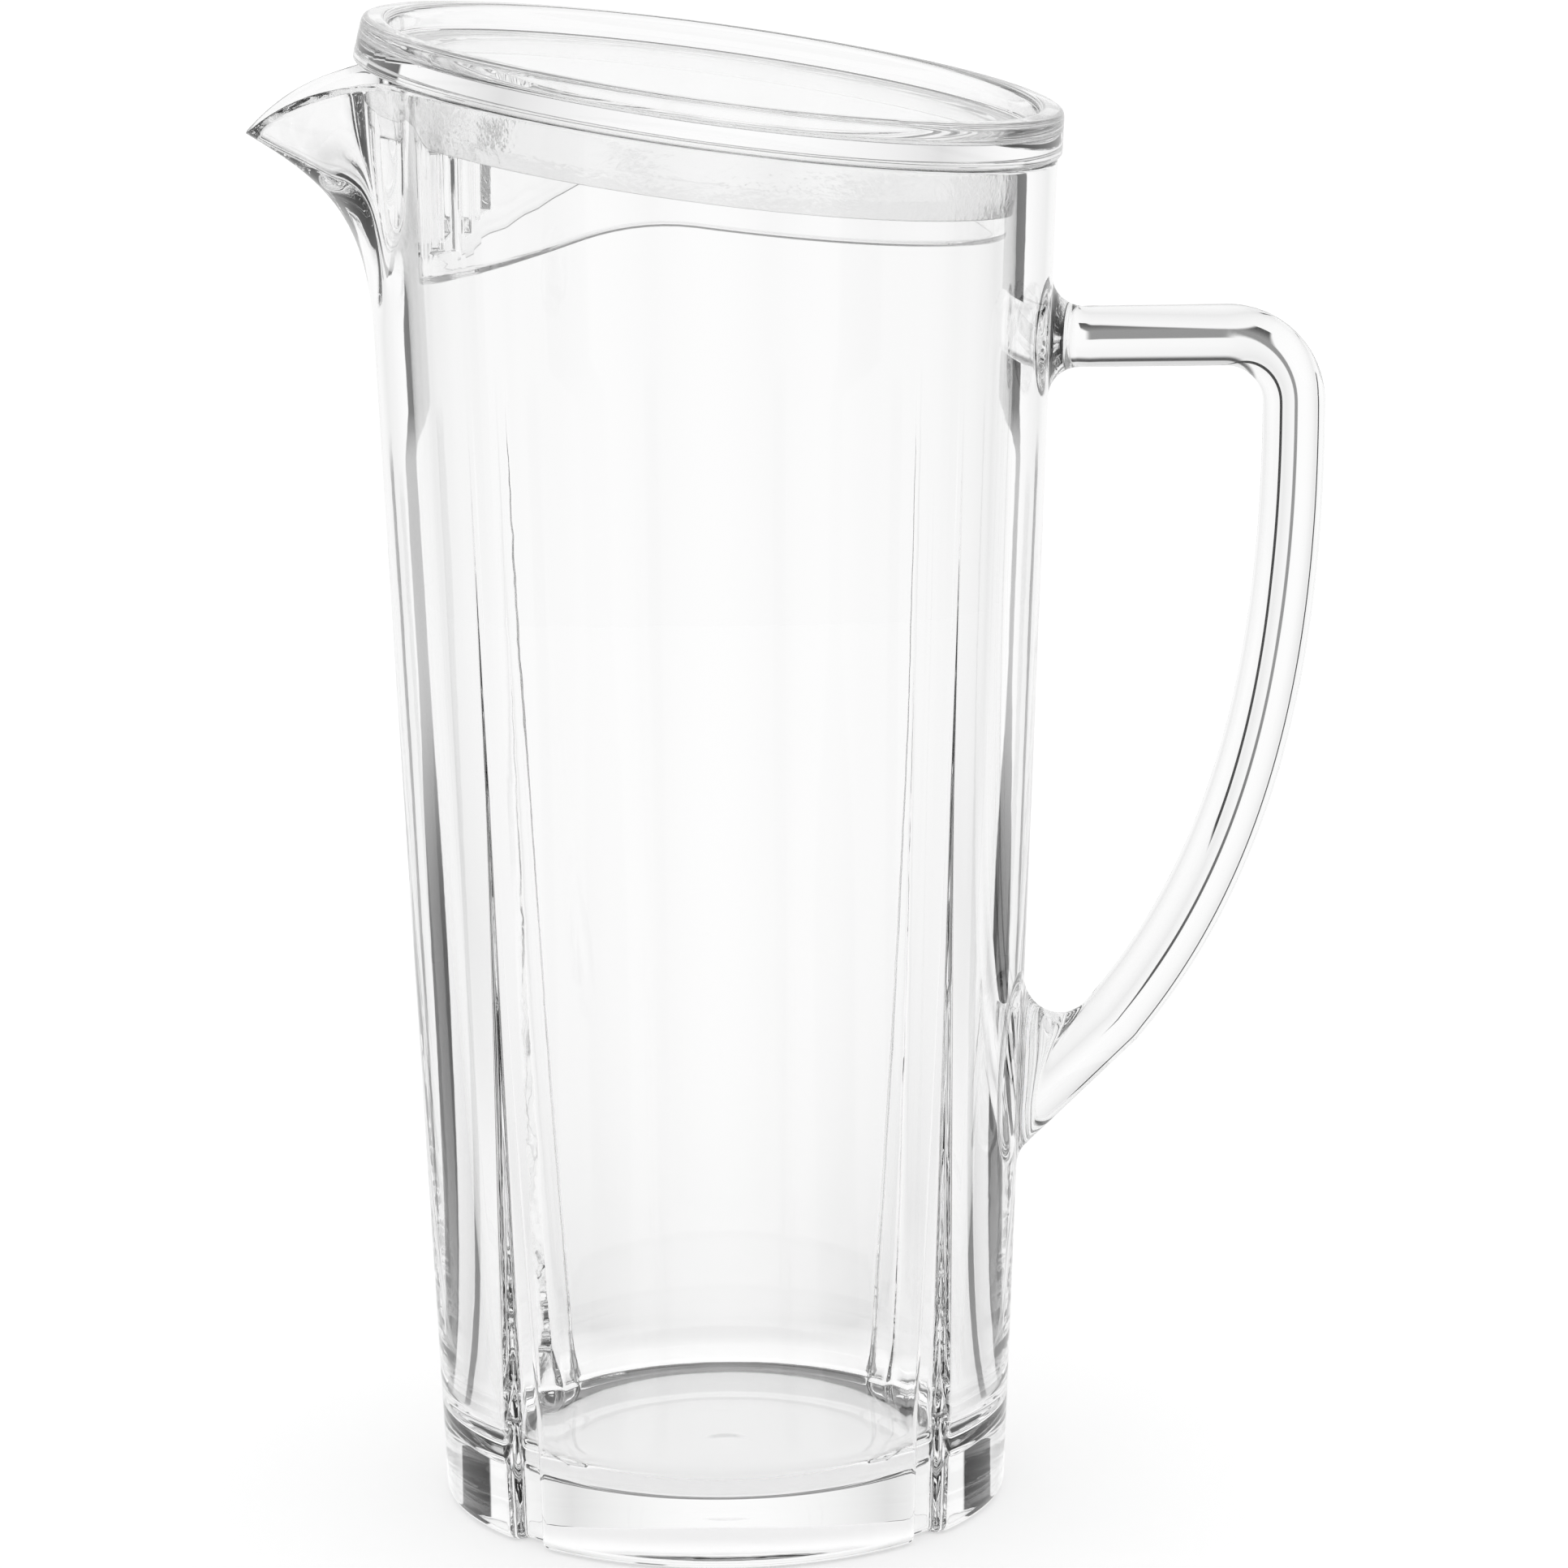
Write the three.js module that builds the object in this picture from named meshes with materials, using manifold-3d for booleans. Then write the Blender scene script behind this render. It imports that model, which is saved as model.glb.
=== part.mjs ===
// A clear lidded pitcher: a grooved body with a beak spout, a rod handle, a slanted lid with a strainer
// skirt, and the soft ring that seals the lid. Millimetres, +Z up. The origin is the centre of the foot
// on the table, the spout points to -X and the handle to +X.
import * as THREE from 'three';
import { mergeVertices } from 'three/addons/utils/BufferGeometryUtils.js';
import Module from 'manifold-3d';

// Body. The rim is slanted, and RIM_HEIGHT and RIM_RADIUS hold where it crosses the axis.
const FOOT_RADIUS = 51;
const FOOT_EDGE_RADIUS = 1.4;
const FOOT_WALL = 8.6;
const FLOOR_THICKNESS = 9.5;
const FLOOR_CORNER_RADIUS = 11;
const RIM_RADIUS = 61.5;
const RIM_HEIGHT = 252.7;
const RIM_WALL = 7.1;
const RIM_TILT_DEG = 8.4; // the rim falls towards the handle
const LIP_EDGE_RADIUS = 0.7;
const BORE_BELLY = 1.8; // how far the bore swells past a straight taper at mid height

// Grooves between the panels, of full width at the foot and closing to a point
const GROOVE_COUNT = 4;
const GROOVE_WIDTH = 6.2;
const GROOVE_DEPTH = 2.6;
const GROOVE_FLOOR_WIDTH = 4.4;
const GROOVE_FULL_HEIGHT = 26; // full width up to here
const GROOVE_END_DEPTH = 42.7; // where the point lies, below the rim
const GROOVE_TAPER_POWER = 1.7;

// Spout. Depths are below the rim's height on the axis.
const SPOUT_LENGTH = 20.4; // tip beyond the rim, before its edge is rounded
const SPOUT_TIP_DEPTH = 3.4;
const SPOUT_KEEL_DEPTH = 38.7; // where the underside leaves the wall
const SPOUT_KEEL_RISE_DEG = 31; // slope of the underside at the tip
const SPOUT_NOSE_RADIUS = 7; // roundness of the tip, seen from above
const SPOUT_CHANNEL_NOSE_RADIUS = 5.9;
const SPOUT_LIP = 2.2; // wall at the tip
const SPOUT_BLEND = 6.5; // soft corner between beak and rim
const SPOUT_DIP_BLEND = 20; // the same for the lip's fall towards the tip, which starts sooner
const SPOUT_DIP_EVEN = 0.37; // part of that fall that is even, while the rest steepens to the tip
const SPOUT_LEAVE_PULL = 0.48; // how long the beak's side holds the wall's direction, in chords
const SPOUT_ARRIVE_PULL = 0.41; // and the lip's
const SPOUT_FLANK_DEG = 15; // half angle over which the beak's walls turn upright

// Handle
const ARM_DEPTH = 41.5; // centre line of the level arm, below the rim
const ARM_ROD_RADIUS = 5.4;
const ROOT_ROD_RADIUS = 5.9;
const HANDLE_STANDOFF = 43.4; // centre line of the grip from the wall
const HANDLE_BEND_RADIUS = 12.2;
const GRIP_DROP = 59; // how long the grip holds its upright direction
const ROOT_HEIGHT = 69.7; // where the centre line meets the wall
const ROOT_ANGLE_DEG = 51.4; // from upright, at the lower root
const ROOT_SWEEP = 46; // how long the grip holds the root's direction
const ROOT_FILLET = 5.5;
const ROOT_CROTCH_FILLET = 7.6; // above the lower root, where rod and wall meet sharply
const ROOT_BURIED = 14; // centre line inside the wall, which the wall cuts off

// Lid
const LID_OVERHANG = 0.8;
const LID_RIM_HEIGHT = 8;
const LID_RIM_WIDTH = 4.4;
const LID_RIM_DRAFT = 0.8;
const LID_PLATE_THICKNESS = 3.4;
const LID_EDGE_RADIUS = 1.2;
const SKIRT_CLEARANCE = 2.4; // between the skirt and the mouth of the bore
const SKIRT_THICKNESS = 2.4;
const SKIRT_DEPTH = 14.2; // below the rim, away from the spout
const SKIRT_BEND_OFFSET = 12.3; // from here to the spout the lower edge slopes down
const SKIRT_BEND_LENGTH = 10; // reach of the round bend, each way
const SKIRT_DROP_DEG = 30;

// Strainer slots in the skirt at the spout
const SLOT_COUNT = 5;
const SLOT_PITCH_DEG = 15.3;
const SLOT_WIDTH = 7;
const SLOT_SILL = 5; // skirt left under a slot
const SLOT_HEAD_DEPTH = 10.2; // top of the slots below the rim
const SLOT_CORNER_RADIUS = 0.8;

// Seal ring
const SEAL_HEIGHT = 9.6;
const SEAL_LIP_HEIGHT = 3.5;
const SEAL_LIP_DRAW = 0.5; // how far the lower edge draws in from the wall
const SEAL_NOTCH = 3.2; // the ring is shallower across the spout
const SEAL_NOTCH_HALF_DEG = 31;
const SEAL_NOTCH_ARCH_DEG = 6;

// Fits, and how finely round surfaces are faceted
const SEAT_GAP = 0.3; // between pieces that rest on each other
const PLAIN_STEP_DEG = 7.5;
const SPOUT_STEP_DEG = 2.5;
const SPOUT_FINE_HALF_DEG = 22.5;
const WALL_STEPS = 5;
const CURVE_STEPS = 5;
const CORNER_STEPS = 3;
const LID_SEGMENTS = 64;
const ROD_SIDES = 16;
const BEND_STEPS = 8;
const GRIP_STEPS = 16;

const { clamp, degToRad, lerp, radToDeg, smoothstep } = THREE.MathUtils;
const rimTilt = degToRad(RIM_TILT_DEG);
const rimDrop = (x) => -x * Math.tan(rimTilt); // the slanted rim, measured from its height on the axis
const wallSlope = (RIM_RADIUS - FOOT_RADIUS) / RIM_HEIGHT;
const wallRadius = (z) => FOOT_RADIUS + wallSlope * z;
const spoutReach = RIM_RADIUS + SPOUT_LENGTH;
const keelHeight = RIM_HEIGHT - SPOUT_KEEL_DEPTH;
const skirtRadius = RIM_RADIUS - RIM_WALL - SKIRT_CLEARANCE;

function boreRadius(z) {
  const share = (z - FLOOR_THICKNESS) / (RIM_HEIGHT - FLOOR_THICKNESS);
  const taper = lerp(FOOT_RADIUS - FOOT_WALL, RIM_RADIUS - RIM_WALL, share);
  return taper + 4 * BORE_BELLY * share * (1 - share);
}

const wasm = await Module();
wasm.setup();

function toSolid(geometry) {
  const bare = geometry.clone();
  bare.deleteAttribute('normal');
  bare.deleteAttribute('uv');
  const merged = mergeVertices(bare);
  const vertProperties = new Float32Array(merged.attributes.position.array);
  const triVerts = new Uint32Array(merged.index.array);
  return new wasm.Manifold(new wasm.Mesh({ numProp: 3, vertProperties, triVerts }));
}

function toGeometry(solid) {
  const mesh = solid.getMesh();
  const geometry = new THREE.BufferGeometry();
  geometry.setAttribute('position', new THREE.BufferAttribute(mesh.vertProperties, 3));
  geometry.setIndex(new THREE.BufferAttribute(mesh.triVerts, 1));
  geometry.computeVertexNormals();
  return geometry;
}

// Closed skin over rings of points. A ring of one point is a pole, and a loop joins the last ring to
// the first.
function skinRings(rings, loop = false) {
  const starts = [];
  const positions = [];
  for (const ring of rings) {
    starts.push(positions.length / 3);
    for (const point of ring) positions.push(point.x, point.y, point.z);
  }
  const faces = [];
  const bands = loop ? rings.length : rings.length - 1;
  for (let band = 0; band < bands; band++) {
    const next = (band + 1) % rings.length;
    const lowCount = rings[band].length;
    const highCount = rings[next].length;
    const count = Math.max(lowCount, highCount);
    for (let side = 0; side < count; side++) {
      const low = starts[band] + (side % lowCount);
      const lowNext = starts[band] + ((side + 1) % lowCount);
      const high = starts[next] + (side % highCount);
      const highNext = starts[next] + ((side + 1) % highCount);
      if (lowCount > 1) faces.push(low, lowNext, highNext);
      if (highCount > 1) faces.push(low, highNext, high);
    }
  }
  const geometry = new THREE.BufferGeometry();
  geometry.setAttribute('position', new THREE.Float32BufferAttribute(positions, 3));
  geometry.setIndex(faces);
  geometry.computeVertexNormals();
  return geometry;
}

// Rings through the points that hold the same place in each section
function acrossSections(sections) {
  return sections[0].map((_, level) => sections.map((section) => section[level]));
}

function middle(points) {
  const sum = points.reduce((total, point) => total.add(point), new THREE.Vector3());
  return sum.divideScalar(points.length);
}

function polar(radius, angle, z) {
  return new THREE.Vector3(radius * Math.cos(angle), radius * Math.sin(angle), z);
}

// Lathe and extrusion both come upright: a profile's second number is the height.
function revolve(profile, segments) {
  return new THREE.LatheGeometry(profile, segments).rotateX(Math.PI / 2);
}

function extrudeAcross(shape, depth) {
  const options = { depth, bevelEnabled: false, curveSegments: CURVE_STEPS };
  return new THREE.ExtrudeGeometry(shape, options).rotateX(Math.PI / 2).translate(0, depth / 2, 0);
}

// Body: columns of the skin, evenly spaced, closer at the spout, with four at each groove
function bodyColumns() {
  const columns = [];
  const pitch = 360 / GROOVE_COUNT;
  const grooveHalf = GROOVE_WIDTH / 2 / FOOT_RADIUS;
  const isFine = (degrees) => Math.abs(degrees + PLAIN_STEP_DEG / 2 - 180) < SPOUT_FINE_HALF_DEG;
  for (let start = 0; start < 360; start += PLAIN_STEP_DEG) {
    const count = isFine(start) ? Math.round(PLAIN_STEP_DEG / SPOUT_STEP_DEG) : 1;
    for (let part = 0; part < count; part++) {
      const degrees = start + (part * PLAIN_STEP_DEG) / count;
      const toGroove = degToRad(Math.abs((degrees % pitch) - pitch / 2));
      const centre = degToRad(degrees);
      if (toGroove > 1.5 * grooveHalf) columns.push({ centre, home: centre, across: 0, deep: 0 });
    }
  }
  for (let groove = 0; groove < GROOVE_COUNT; groove++) {
    const centre = degToRad((groove + 0.5) * pitch);
    for (const side of [-0.5, 0.5]) {
      for (const [width, deep] of [[GROOVE_WIDTH, 0], [GROOVE_FLOOR_WIDTH, 1]]) {
        const across = side * width;
        columns.push({ centre, home: centre + across / FOOT_RADIUS, across, deep });
      }
    }
  }
  return columns.sort((a, b) => a.home - b.home);
}

// Outer wall below the spout, with the groove's share of its full section at that height
function wallPoint(column, z, inset = 0) {
  const grooveEnd = RIM_HEIGHT - GROOVE_END_DEPTH;
  const left = clamp((grooveEnd - z) / (grooveEnd - GROOVE_FULL_HEIGHT), 0, 1);
  const share = left ** GROOVE_TAPER_POWER;
  const radius = wallRadius(z);
  const angle = share > 0 ? column.centre + (share * column.across) / radius : column.home;
  return polar(radius - inset - share * column.deep * GROOVE_DEPTH, angle, z);
}

// Radius at which a side of the body meets the slanted rim, by repeated substitution
function rimRadius(radiusAt, angle) {
  let radius = RIM_RADIUS;
  for (let pass = 0; pass < 8; pass++) radius = radiusAt(RIM_HEIGHT + rimDrop(radius * Math.cos(angle)));
  return radius;
}

// Plan of the beak: a parabola, softly joined to the rim
function beakRadius(angle, reach, nose, rim, blend) {
  const along = -Math.cos(angle);
  if (along <= 0) return rim;
  const across = Math.sin(angle);
  const root = Math.sqrt((nose * along) ** 2 + 2 * nose * reach * across ** 2);
  const beak = (2 * nose * reach) / (nose * along + root);
  const near = Math.max(blend - Math.abs(beak - rim), 0) / blend;
  return Math.max(beak, rim) + (near ** 2 * blend) / 4;
}

// Side of the body at one column, from below the spout to the lip: it leaves along the wall and arrives
// at the lip along the beak's slope, so away from the spout it is the plain wall
function beakSide(column, radiusAt, startHeight, reach, nose) {
  const angle = column.home;
  const rim = rimRadius(radiusAt, angle);
  const tipRim = rimRadius(radiusAt, Math.PI);
  const radius = beakRadius(angle, reach, nose, rim, SPOUT_BLEND);
  const share = (beakRadius(angle, reach, nose, rim, SPOUT_DIP_BLEND) - rim) / (reach - tipRim);
  const tipDrop = rimDrop(-spoutReach) + SPOUT_TIP_DEPTH;
  const drop = tipDrop * lerp(share ** 2, share, SPOUT_DIP_EVEN);
  const start = polar(radiusAt(startHeight), angle, startHeight);
  const lip = polar(radius, angle, RIM_HEIGHT + rimDrop(radius * Math.cos(angle)) - drop);
  const wallRise = Math.atan2(1, radiusAt(startHeight + 1) - radiusAt(startHeight));
  const flank = smoothstep(Math.abs(angle - Math.PI), 0, degToRad(SPOUT_FLANK_DEG));
  const lipRise = lerp(degToRad(SPOUT_KEEL_RISE_DEG), wallRise, flank);
  const lipSlope = polar(Math.cos(lipRise), angle, Math.sin(lipRise));
  const wallSlopeUp = polar(Math.cos(wallRise), angle, Math.sin(wallRise));
  const chord = start.distanceTo(lip);
  const leave = start.clone().addScaledVector(wallSlopeUp, SPOUT_LEAVE_PULL * chord);
  const arrive = lip.clone().addScaledVector(lipSlope, -SPOUT_ARRIVE_PULL * chord);
  return { curve: new THREE.CubicBezierCurve3(start, leave, arrive, lip), lip, lipSlope };
}

// Three points round the corner between two directions that leave it
function roundCorner(corner, before, after, reach) {
  const first = corner.clone().addScaledVector(before, reach);
  const last = corner.clone().addScaledVector(after, reach);
  return new THREE.QuadraticBezierCurve3(first, corner, last).getPoints(2);
}

function bodyGeometry() {
  const columns = bodyColumns();
  const boreStart = keelHeight + wallRadius(keelHeight) - boreRadius(keelHeight);
  const sections = columns.map((column) => {
    const points = [];
    for (let step = 0; step <= CORNER_STEPS; step++) {
      const turn = (step / CORNER_STEPS) * (Math.PI / 2);
      const inset = FOOT_EDGE_RADIUS * (1 - Math.sin(turn));
      points.push(wallPoint(column, FOOT_EDGE_RADIUS * (1 - Math.cos(turn)), inset));
    }
    for (let step = 0; step < WALL_STEPS; step++) {
      points.push(wallPoint(column, lerp(GROOVE_FULL_HEIGHT, keelHeight, step / WALL_STEPS)));
    }
    const outer = beakSide(column, wallRadius, keelHeight, spoutReach, SPOUT_NOSE_RADIUS);
    const channelReach = spoutReach - SPOUT_LIP;
    const inner = beakSide(column, boreRadius, boreStart, channelReach, SPOUT_CHANNEL_NOSE_RADIUS);
    const inward = inner.lip.clone().sub(outer.lip).normalize();
    points.push(...outer.curve.getPoints(CURVE_STEPS).slice(0, -1));
    points.push(...roundCorner(outer.lip, outer.lipSlope.clone().negate(), inward, LIP_EDGE_RADIUS));
    const outward = inward.clone().negate();
    points.push(...roundCorner(inner.lip, outward, inner.lipSlope.clone().negate(), LIP_EDGE_RADIUS));
    points.push(...inner.curve.getPoints(CURVE_STEPS).slice(0, -1).reverse());
    const cornerTop = FLOOR_THICKNESS + FLOOR_CORNER_RADIUS;
    for (let step = 1; step < WALL_STEPS; step++) {
      const z = lerp(boreStart, cornerTop, step / WALL_STEPS);
      points.push(polar(boreRadius(z), column.home, z));
    }
    for (let step = 0; step <= CORNER_STEPS; step++) {
      const turn = (step / CORNER_STEPS) * (Math.PI / 2);
      const radius = boreRadius(cornerTop) - FLOOR_CORNER_RADIUS * (1 - Math.cos(turn));
      points.push(polar(radius, column.home, cornerTop - FLOOR_CORNER_RADIUS * Math.sin(turn)));
    }
    return points;
  });
  const footCentre = [new THREE.Vector3(0, 0, 0)];
  const floorCentre = [new THREE.Vector3(0, 0, FLOOR_THICKNESS)];
  return skinRings([footCentre, ...acrossSections(sections), floorCentre]);
}

// Handle: a rod along a flat path, which starts and ends inside the wall
function handlePath() {
  const armHeight = RIM_HEIGHT - ARM_DEPTH;
  const armWall = wallRadius(armHeight);
  const gripX = armWall + HANDLE_STANDOFF;
  const bendX = gripX - HANDLE_BEND_RADIUS;
  const bendZ = armHeight - HANDLE_BEND_RADIUS;
  const rootAngle = degToRad(ROOT_ANGLE_DEG);
  const rootOut = new THREE.Vector2(Math.sin(rootAngle), Math.cos(rootAngle));
  const root = new THREE.Vector2(wallRadius(ROOT_HEIGHT), ROOT_HEIGHT);
  const sweep = root.clone().addScaledVector(rootOut, ROOT_SWEEP);
  const buried = root.clone().addScaledVector(rootOut, -ROOT_BURIED);
  const path = new THREE.Path();
  path.moveTo(armWall - ROOT_BURIED, armHeight);
  path.lineTo(bendX, armHeight);
  path.absarc(bendX, bendZ, HANDLE_BEND_RADIUS, Math.PI / 2, 0, true);
  path.bezierCurveTo(gripX, bendZ - GRIP_DROP, sweep.x, sweep.y, root.x, root.y);
  path.lineTo(buried.x, buried.y);
  return path;
}

function handleGeometry() {
  const path = handlePath();
  const length = path.getLength();
  const [armEnd, bendEnd] = path.getCurveLengths();
  const sides = Array.from({ length: ROD_SIDES }, (_, side) => (2 * Math.PI * side) / ROD_SIDES);

  function rodPoint(distance, turn) {
    const share = clamp(distance / length, 0, 1);
    const centre = path.getPoint(share);
    const along = path.getTangent(share);
    const radius = lerp(ARM_ROD_RADIUS, ROOT_ROD_RADIUS, share);
    const place = new THREE.Vector3(centre.x, 0, centre.y);
    place.x += radius * Math.cos(turn) * along.y;
    place.z -= radius * Math.cos(turn) * along.x;
    place.y += radius * Math.sin(turn);
    return place;
  }

  // Fillet on one side of a root: an arc that is tangent to the rod and to the wall
  function rootFillet(turn, end) {
    let buried = end;
    let clear = Math.abs(end - 3 * ROOT_BURIED);
    for (let pass = 0; pass < 40; pass++) {
      const middle = (buried + clear) / 2;
      const place = rodPoint(middle, turn);
      if (Math.hypot(place.x, place.y) > wallRadius(place.z)) clear = middle;
      else buried = middle;
    }
    const leaving = Math.sign(clear - end);
    const corner = rodPoint(clear, turn);
    const up = rodPoint(clear + leaving, turn).sub(corner).normalize();
    const wallNormal = polar(1, Math.atan2(corner.y, corner.x), -wallSlope).normalize();
    const side = corner.clone().sub(rodPoint(clear, turn + Math.PI)).normalize();
    const spread = side.addScaledVector(wallNormal, -side.dot(wallNormal)).normalize();
    const arc = Math.PI - up.angleTo(spread);
    const sharpness = clamp((arc - Math.PI / 2) / (Math.PI / 2 - degToRad(ROOT_ANGLE_DEG)), 0, 1);
    const reach = lerp(ROOT_FILLET, ROOT_CROTCH_FILLET, sharpness) * Math.tan(arc / 2);
    const pull = ((4 / 3) * Math.tan(arc / 4)) / Math.tan(arc / 2);
    const distance = clear + leaving * reach;
    const onRod = rodPoint(distance, turn);
    const onWall = corner.clone().addScaledVector(spread, reach);
    const pullRod = onRod.clone().lerp(corner, pull);
    const pullWall = onWall.clone().lerp(corner, pull);
    const curve = new THREE.CubicBezierCurve3(onRod, pullRod, pullWall, onWall);
    const under = onWall.clone().addScaledVector(wallNormal, -ROOT_FILLET);
    return { distance, points: [...curve.getPoints(CURVE_STEPS), under] };
  }

  const upper = sides.map((turn) => rootFillet(turn, 0));
  const lower = sides.map((turn) => rootFillet(turn, length));
  const rootStart = Math.min(...lower.map(({ distance }) => distance));
  const stations = [];
  for (let step = 0; step < BEND_STEPS; step++) stations.push(lerp(armEnd, bendEnd, step / BEND_STEPS));
  for (let step = 0; step < GRIP_STEPS; step++) stations.push(lerp(bendEnd, rootStart, step / GRIP_STEPS));
  const rod = stations.map((distance) => sides.map((turn) => rodPoint(distance, turn)));
  const upperRings = acrossSections(upper.map(({ points }) => points)).reverse();
  const lowerRings = acrossSections(lower.map(({ points }) => points));
  const ends = [[middle(upperRings[0])], [middle(lowerRings.at(-1))]];
  const skin = skinRings([ends[0], ...upperRings, ...rod, ...lowerRings, ends[1]]);
  const wall = revolve([
    new THREE.Vector2(0, 0),
    new THREE.Vector2(wallRadius(0) + SEAT_GAP, 0),
    new THREE.Vector2(wallRadius(RIM_HEIGHT) + SEAT_GAP, RIM_HEIGHT),
    new THREE.Vector2(0, RIM_HEIGHT),
  ], 2 * LID_SEGMENTS);
  return toGeometry(toSolid(skin).subtract(toSolid(wall)));
}

// Lid: heights here are from the rim's height on the axis. A sunk plate with a raised rim lies on the
// slanted rim of the body, and the skirt hangs upright from it.
function lidPlate() {
  const front = rimRadius(wallRadius, Math.PI);
  const back = rimRadius(wallRadius, 0);
  const outer = (front + back) / 2 / Math.cos(rimTilt) + LID_OVERHANG;
  const top = outer - LID_RIM_DRAFT;
  const inner = top - LID_RIM_WIDTH;
  const well = inner - LID_RIM_DRAFT;
  const edge = LID_EDGE_RADIUS;
  const profile = new THREE.Path();
  profile.moveTo(0, 0);
  profile.lineTo(outer - edge, 0);
  profile.quadraticCurveTo(outer, 0, outer, edge);
  profile.lineTo(top, LID_RIM_HEIGHT - edge);
  profile.quadraticCurveTo(top, LID_RIM_HEIGHT, top - edge, LID_RIM_HEIGHT);
  profile.lineTo(inner + edge, LID_RIM_HEIGHT);
  profile.quadraticCurveTo(inner, LID_RIM_HEIGHT, inner, LID_RIM_HEIGHT - edge);
  profile.lineTo(well, LID_PLATE_THICKNESS + edge);
  profile.quadraticCurveTo(well, LID_PLATE_THICKNESS, well - edge, LID_PLATE_THICKNESS);
  profile.lineTo(0, LID_PLATE_THICKNESS);
  const plate = revolve(profile.getPoints(CORNER_STEPS), LID_SEGMENTS);
  const centre = (back - front) / 2;
  return plate.translate(0, 0, SEAT_GAP).rotateY(rimTilt).translate(centre, 0, rimDrop(centre));
}

const skirtDrop = Math.tan(degToRad(SKIRT_DROP_DEG));

function skirtFoot(x) {
  return rimDrop(x) - SKIRT_DEPTH - Math.max(-SKIRT_BEND_OFFSET - x, 0) * skirtDrop;
}

function lidSkirt() {
  const inside = skirtRadius - SKIRT_THICKNESS;
  const reach = RIM_RADIUS;
  const top = (x) => rimDrop(x) + SEAT_GAP + LID_PLATE_THICKNESS / 2;
  const side = new THREE.Shape();
  side.moveTo(-reach, top(-reach));
  side.lineTo(-reach, skirtFoot(-reach));
  const slopeEnd = -SKIRT_BEND_OFFSET - SKIRT_BEND_LENGTH;
  const levelStart = -SKIRT_BEND_OFFSET + SKIRT_BEND_LENGTH;
  side.lineTo(slopeEnd, skirtFoot(slopeEnd));
  side.quadraticCurveTo(-SKIRT_BEND_OFFSET, skirtFoot(-SKIRT_BEND_OFFSET), levelStart, skirtFoot(levelStart));
  side.lineTo(reach, skirtFoot(reach));
  side.lineTo(reach, top(reach));
  side.closePath();
  const low = skirtFoot(-reach);
  const high = top(-reach);
  const tube = revolve([
    new THREE.Vector2(inside, low),
    new THREE.Vector2(skirtRadius, low),
    new THREE.Vector2(skirtRadius, high),
    new THREE.Vector2(inside, high),
    new THREE.Vector2(inside, low),
  ], LID_SEGMENTS);
  return toSolid(tube).intersect(toSolid(extrudeAcross(side, 2 * reach)));
}

function strainerSlot(angle) {
  const x = skirtRadius * Math.cos(angle);
  const head = rimDrop(x) - SLOT_HEAD_DEPTH;
  const sill = skirtFoot(x) + SLOT_SILL;
  const half = SLOT_WIDTH / 2;
  const corner = SLOT_CORNER_RADIUS;
  const outline = new THREE.Shape();
  outline.absarc(half - corner, sill + corner, corner, -Math.PI / 2, 0);
  outline.absarc(half - corner, head - corner, corner, 0, Math.PI / 2);
  outline.absarc(corner - half, head - corner, corner, Math.PI / 2, Math.PI);
  outline.absarc(corner - half, sill + corner, corner, Math.PI, 1.5 * Math.PI);
  outline.closePath();
  const cutter = extrudeAcross(outline, 4 * SKIRT_THICKNESS);
  const midWall = skirtRadius - SKIRT_THICKNESS / 2;
  return toSolid(cutter.translate(0, -midWall, 0).rotateZ(angle + Math.PI / 2));
}

function lidGeometry() {
  let lid = toSolid(lidPlate()).add(lidSkirt());
  for (let slot = 0; slot < SLOT_COUNT; slot++) {
    const turn = degToRad((slot - (SLOT_COUNT - 1) / 2) * SLOT_PITCH_DEG);
    lid = lid.subtract(strainerSlot(Math.PI + turn));
  }
  return toGeometry(lid);
}

// Seal ring: a band between skirt and bore, with a lower lip, and shallower across the spout
function sealGeometry() {
  const inside = skirtRadius + SEAT_GAP;
  const sections = [];
  for (let segment = 0; segment < LID_SEGMENTS; segment++) {
    const angle = (2 * Math.PI * segment) / LID_SEGMENTS;
    const fromSpout = radToDeg(Math.abs(angle - Math.PI));
    const notchStart = SEAL_NOTCH_HALF_DEG - SEAL_NOTCH_ARCH_DEG;
    const notch = SEAL_NOTCH * (1 - smoothstep(fromSpout, notchStart, SEAL_NOTCH_HALF_DEG));
    const top = rimDrop(inside * Math.cos(angle));
    const foot = top - SEAL_HEIGHT + notch;
    const lip = foot + SEAL_LIP_HEIGHT;
    const outside = (z) => boreRadius(RIM_HEIGHT + z) - SEAT_GAP;
    sections.push([
      polar(inside, angle, top),
      polar(outside(top), angle, top),
      polar(outside(lip), angle, lip),
      polar(outside(foot) - SEAL_LIP_DRAW, angle, foot),
      polar(inside, angle, foot),
    ]);
  }
  return skinRings(sections, true);
}

function addPiece(group, name, geometry, finish) {
  const piece = new THREE.Mesh(geometry, new THREE.MeshStandardMaterial(finish));
  piece.name = name;
  group.add(piece);
}

const clearGlass = { color: 0xf3f7f7, roughness: 0.04, metalness: 0, transparent: true, opacity: 0.3 };
const clearPlastic = { color: 0xf1f5f5, roughness: 0.08, metalness: 0, transparent: true, opacity: 0.35 };
const milkySilicone = { color: 0xe4e6e4, roughness: 0.5, metalness: 0, transparent: true, opacity: 0.8 };

const pitcher = new THREE.Group();
const jug = new THREE.Group();
addPiece(jug, 'jug_body', bodyGeometry(), clearGlass);
addPiece(jug, 'handle', handleGeometry(), clearGlass);
pitcher.add(jug);

const cover = new THREE.Group();
addPiece(cover, 'lid', lidGeometry(), clearPlastic);
addPiece(cover, 'seal_ring', sealGeometry(), milkySilicone);
cover.position.z = RIM_HEIGHT;
pitcher.add(cover);

export default pitcher;
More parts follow.
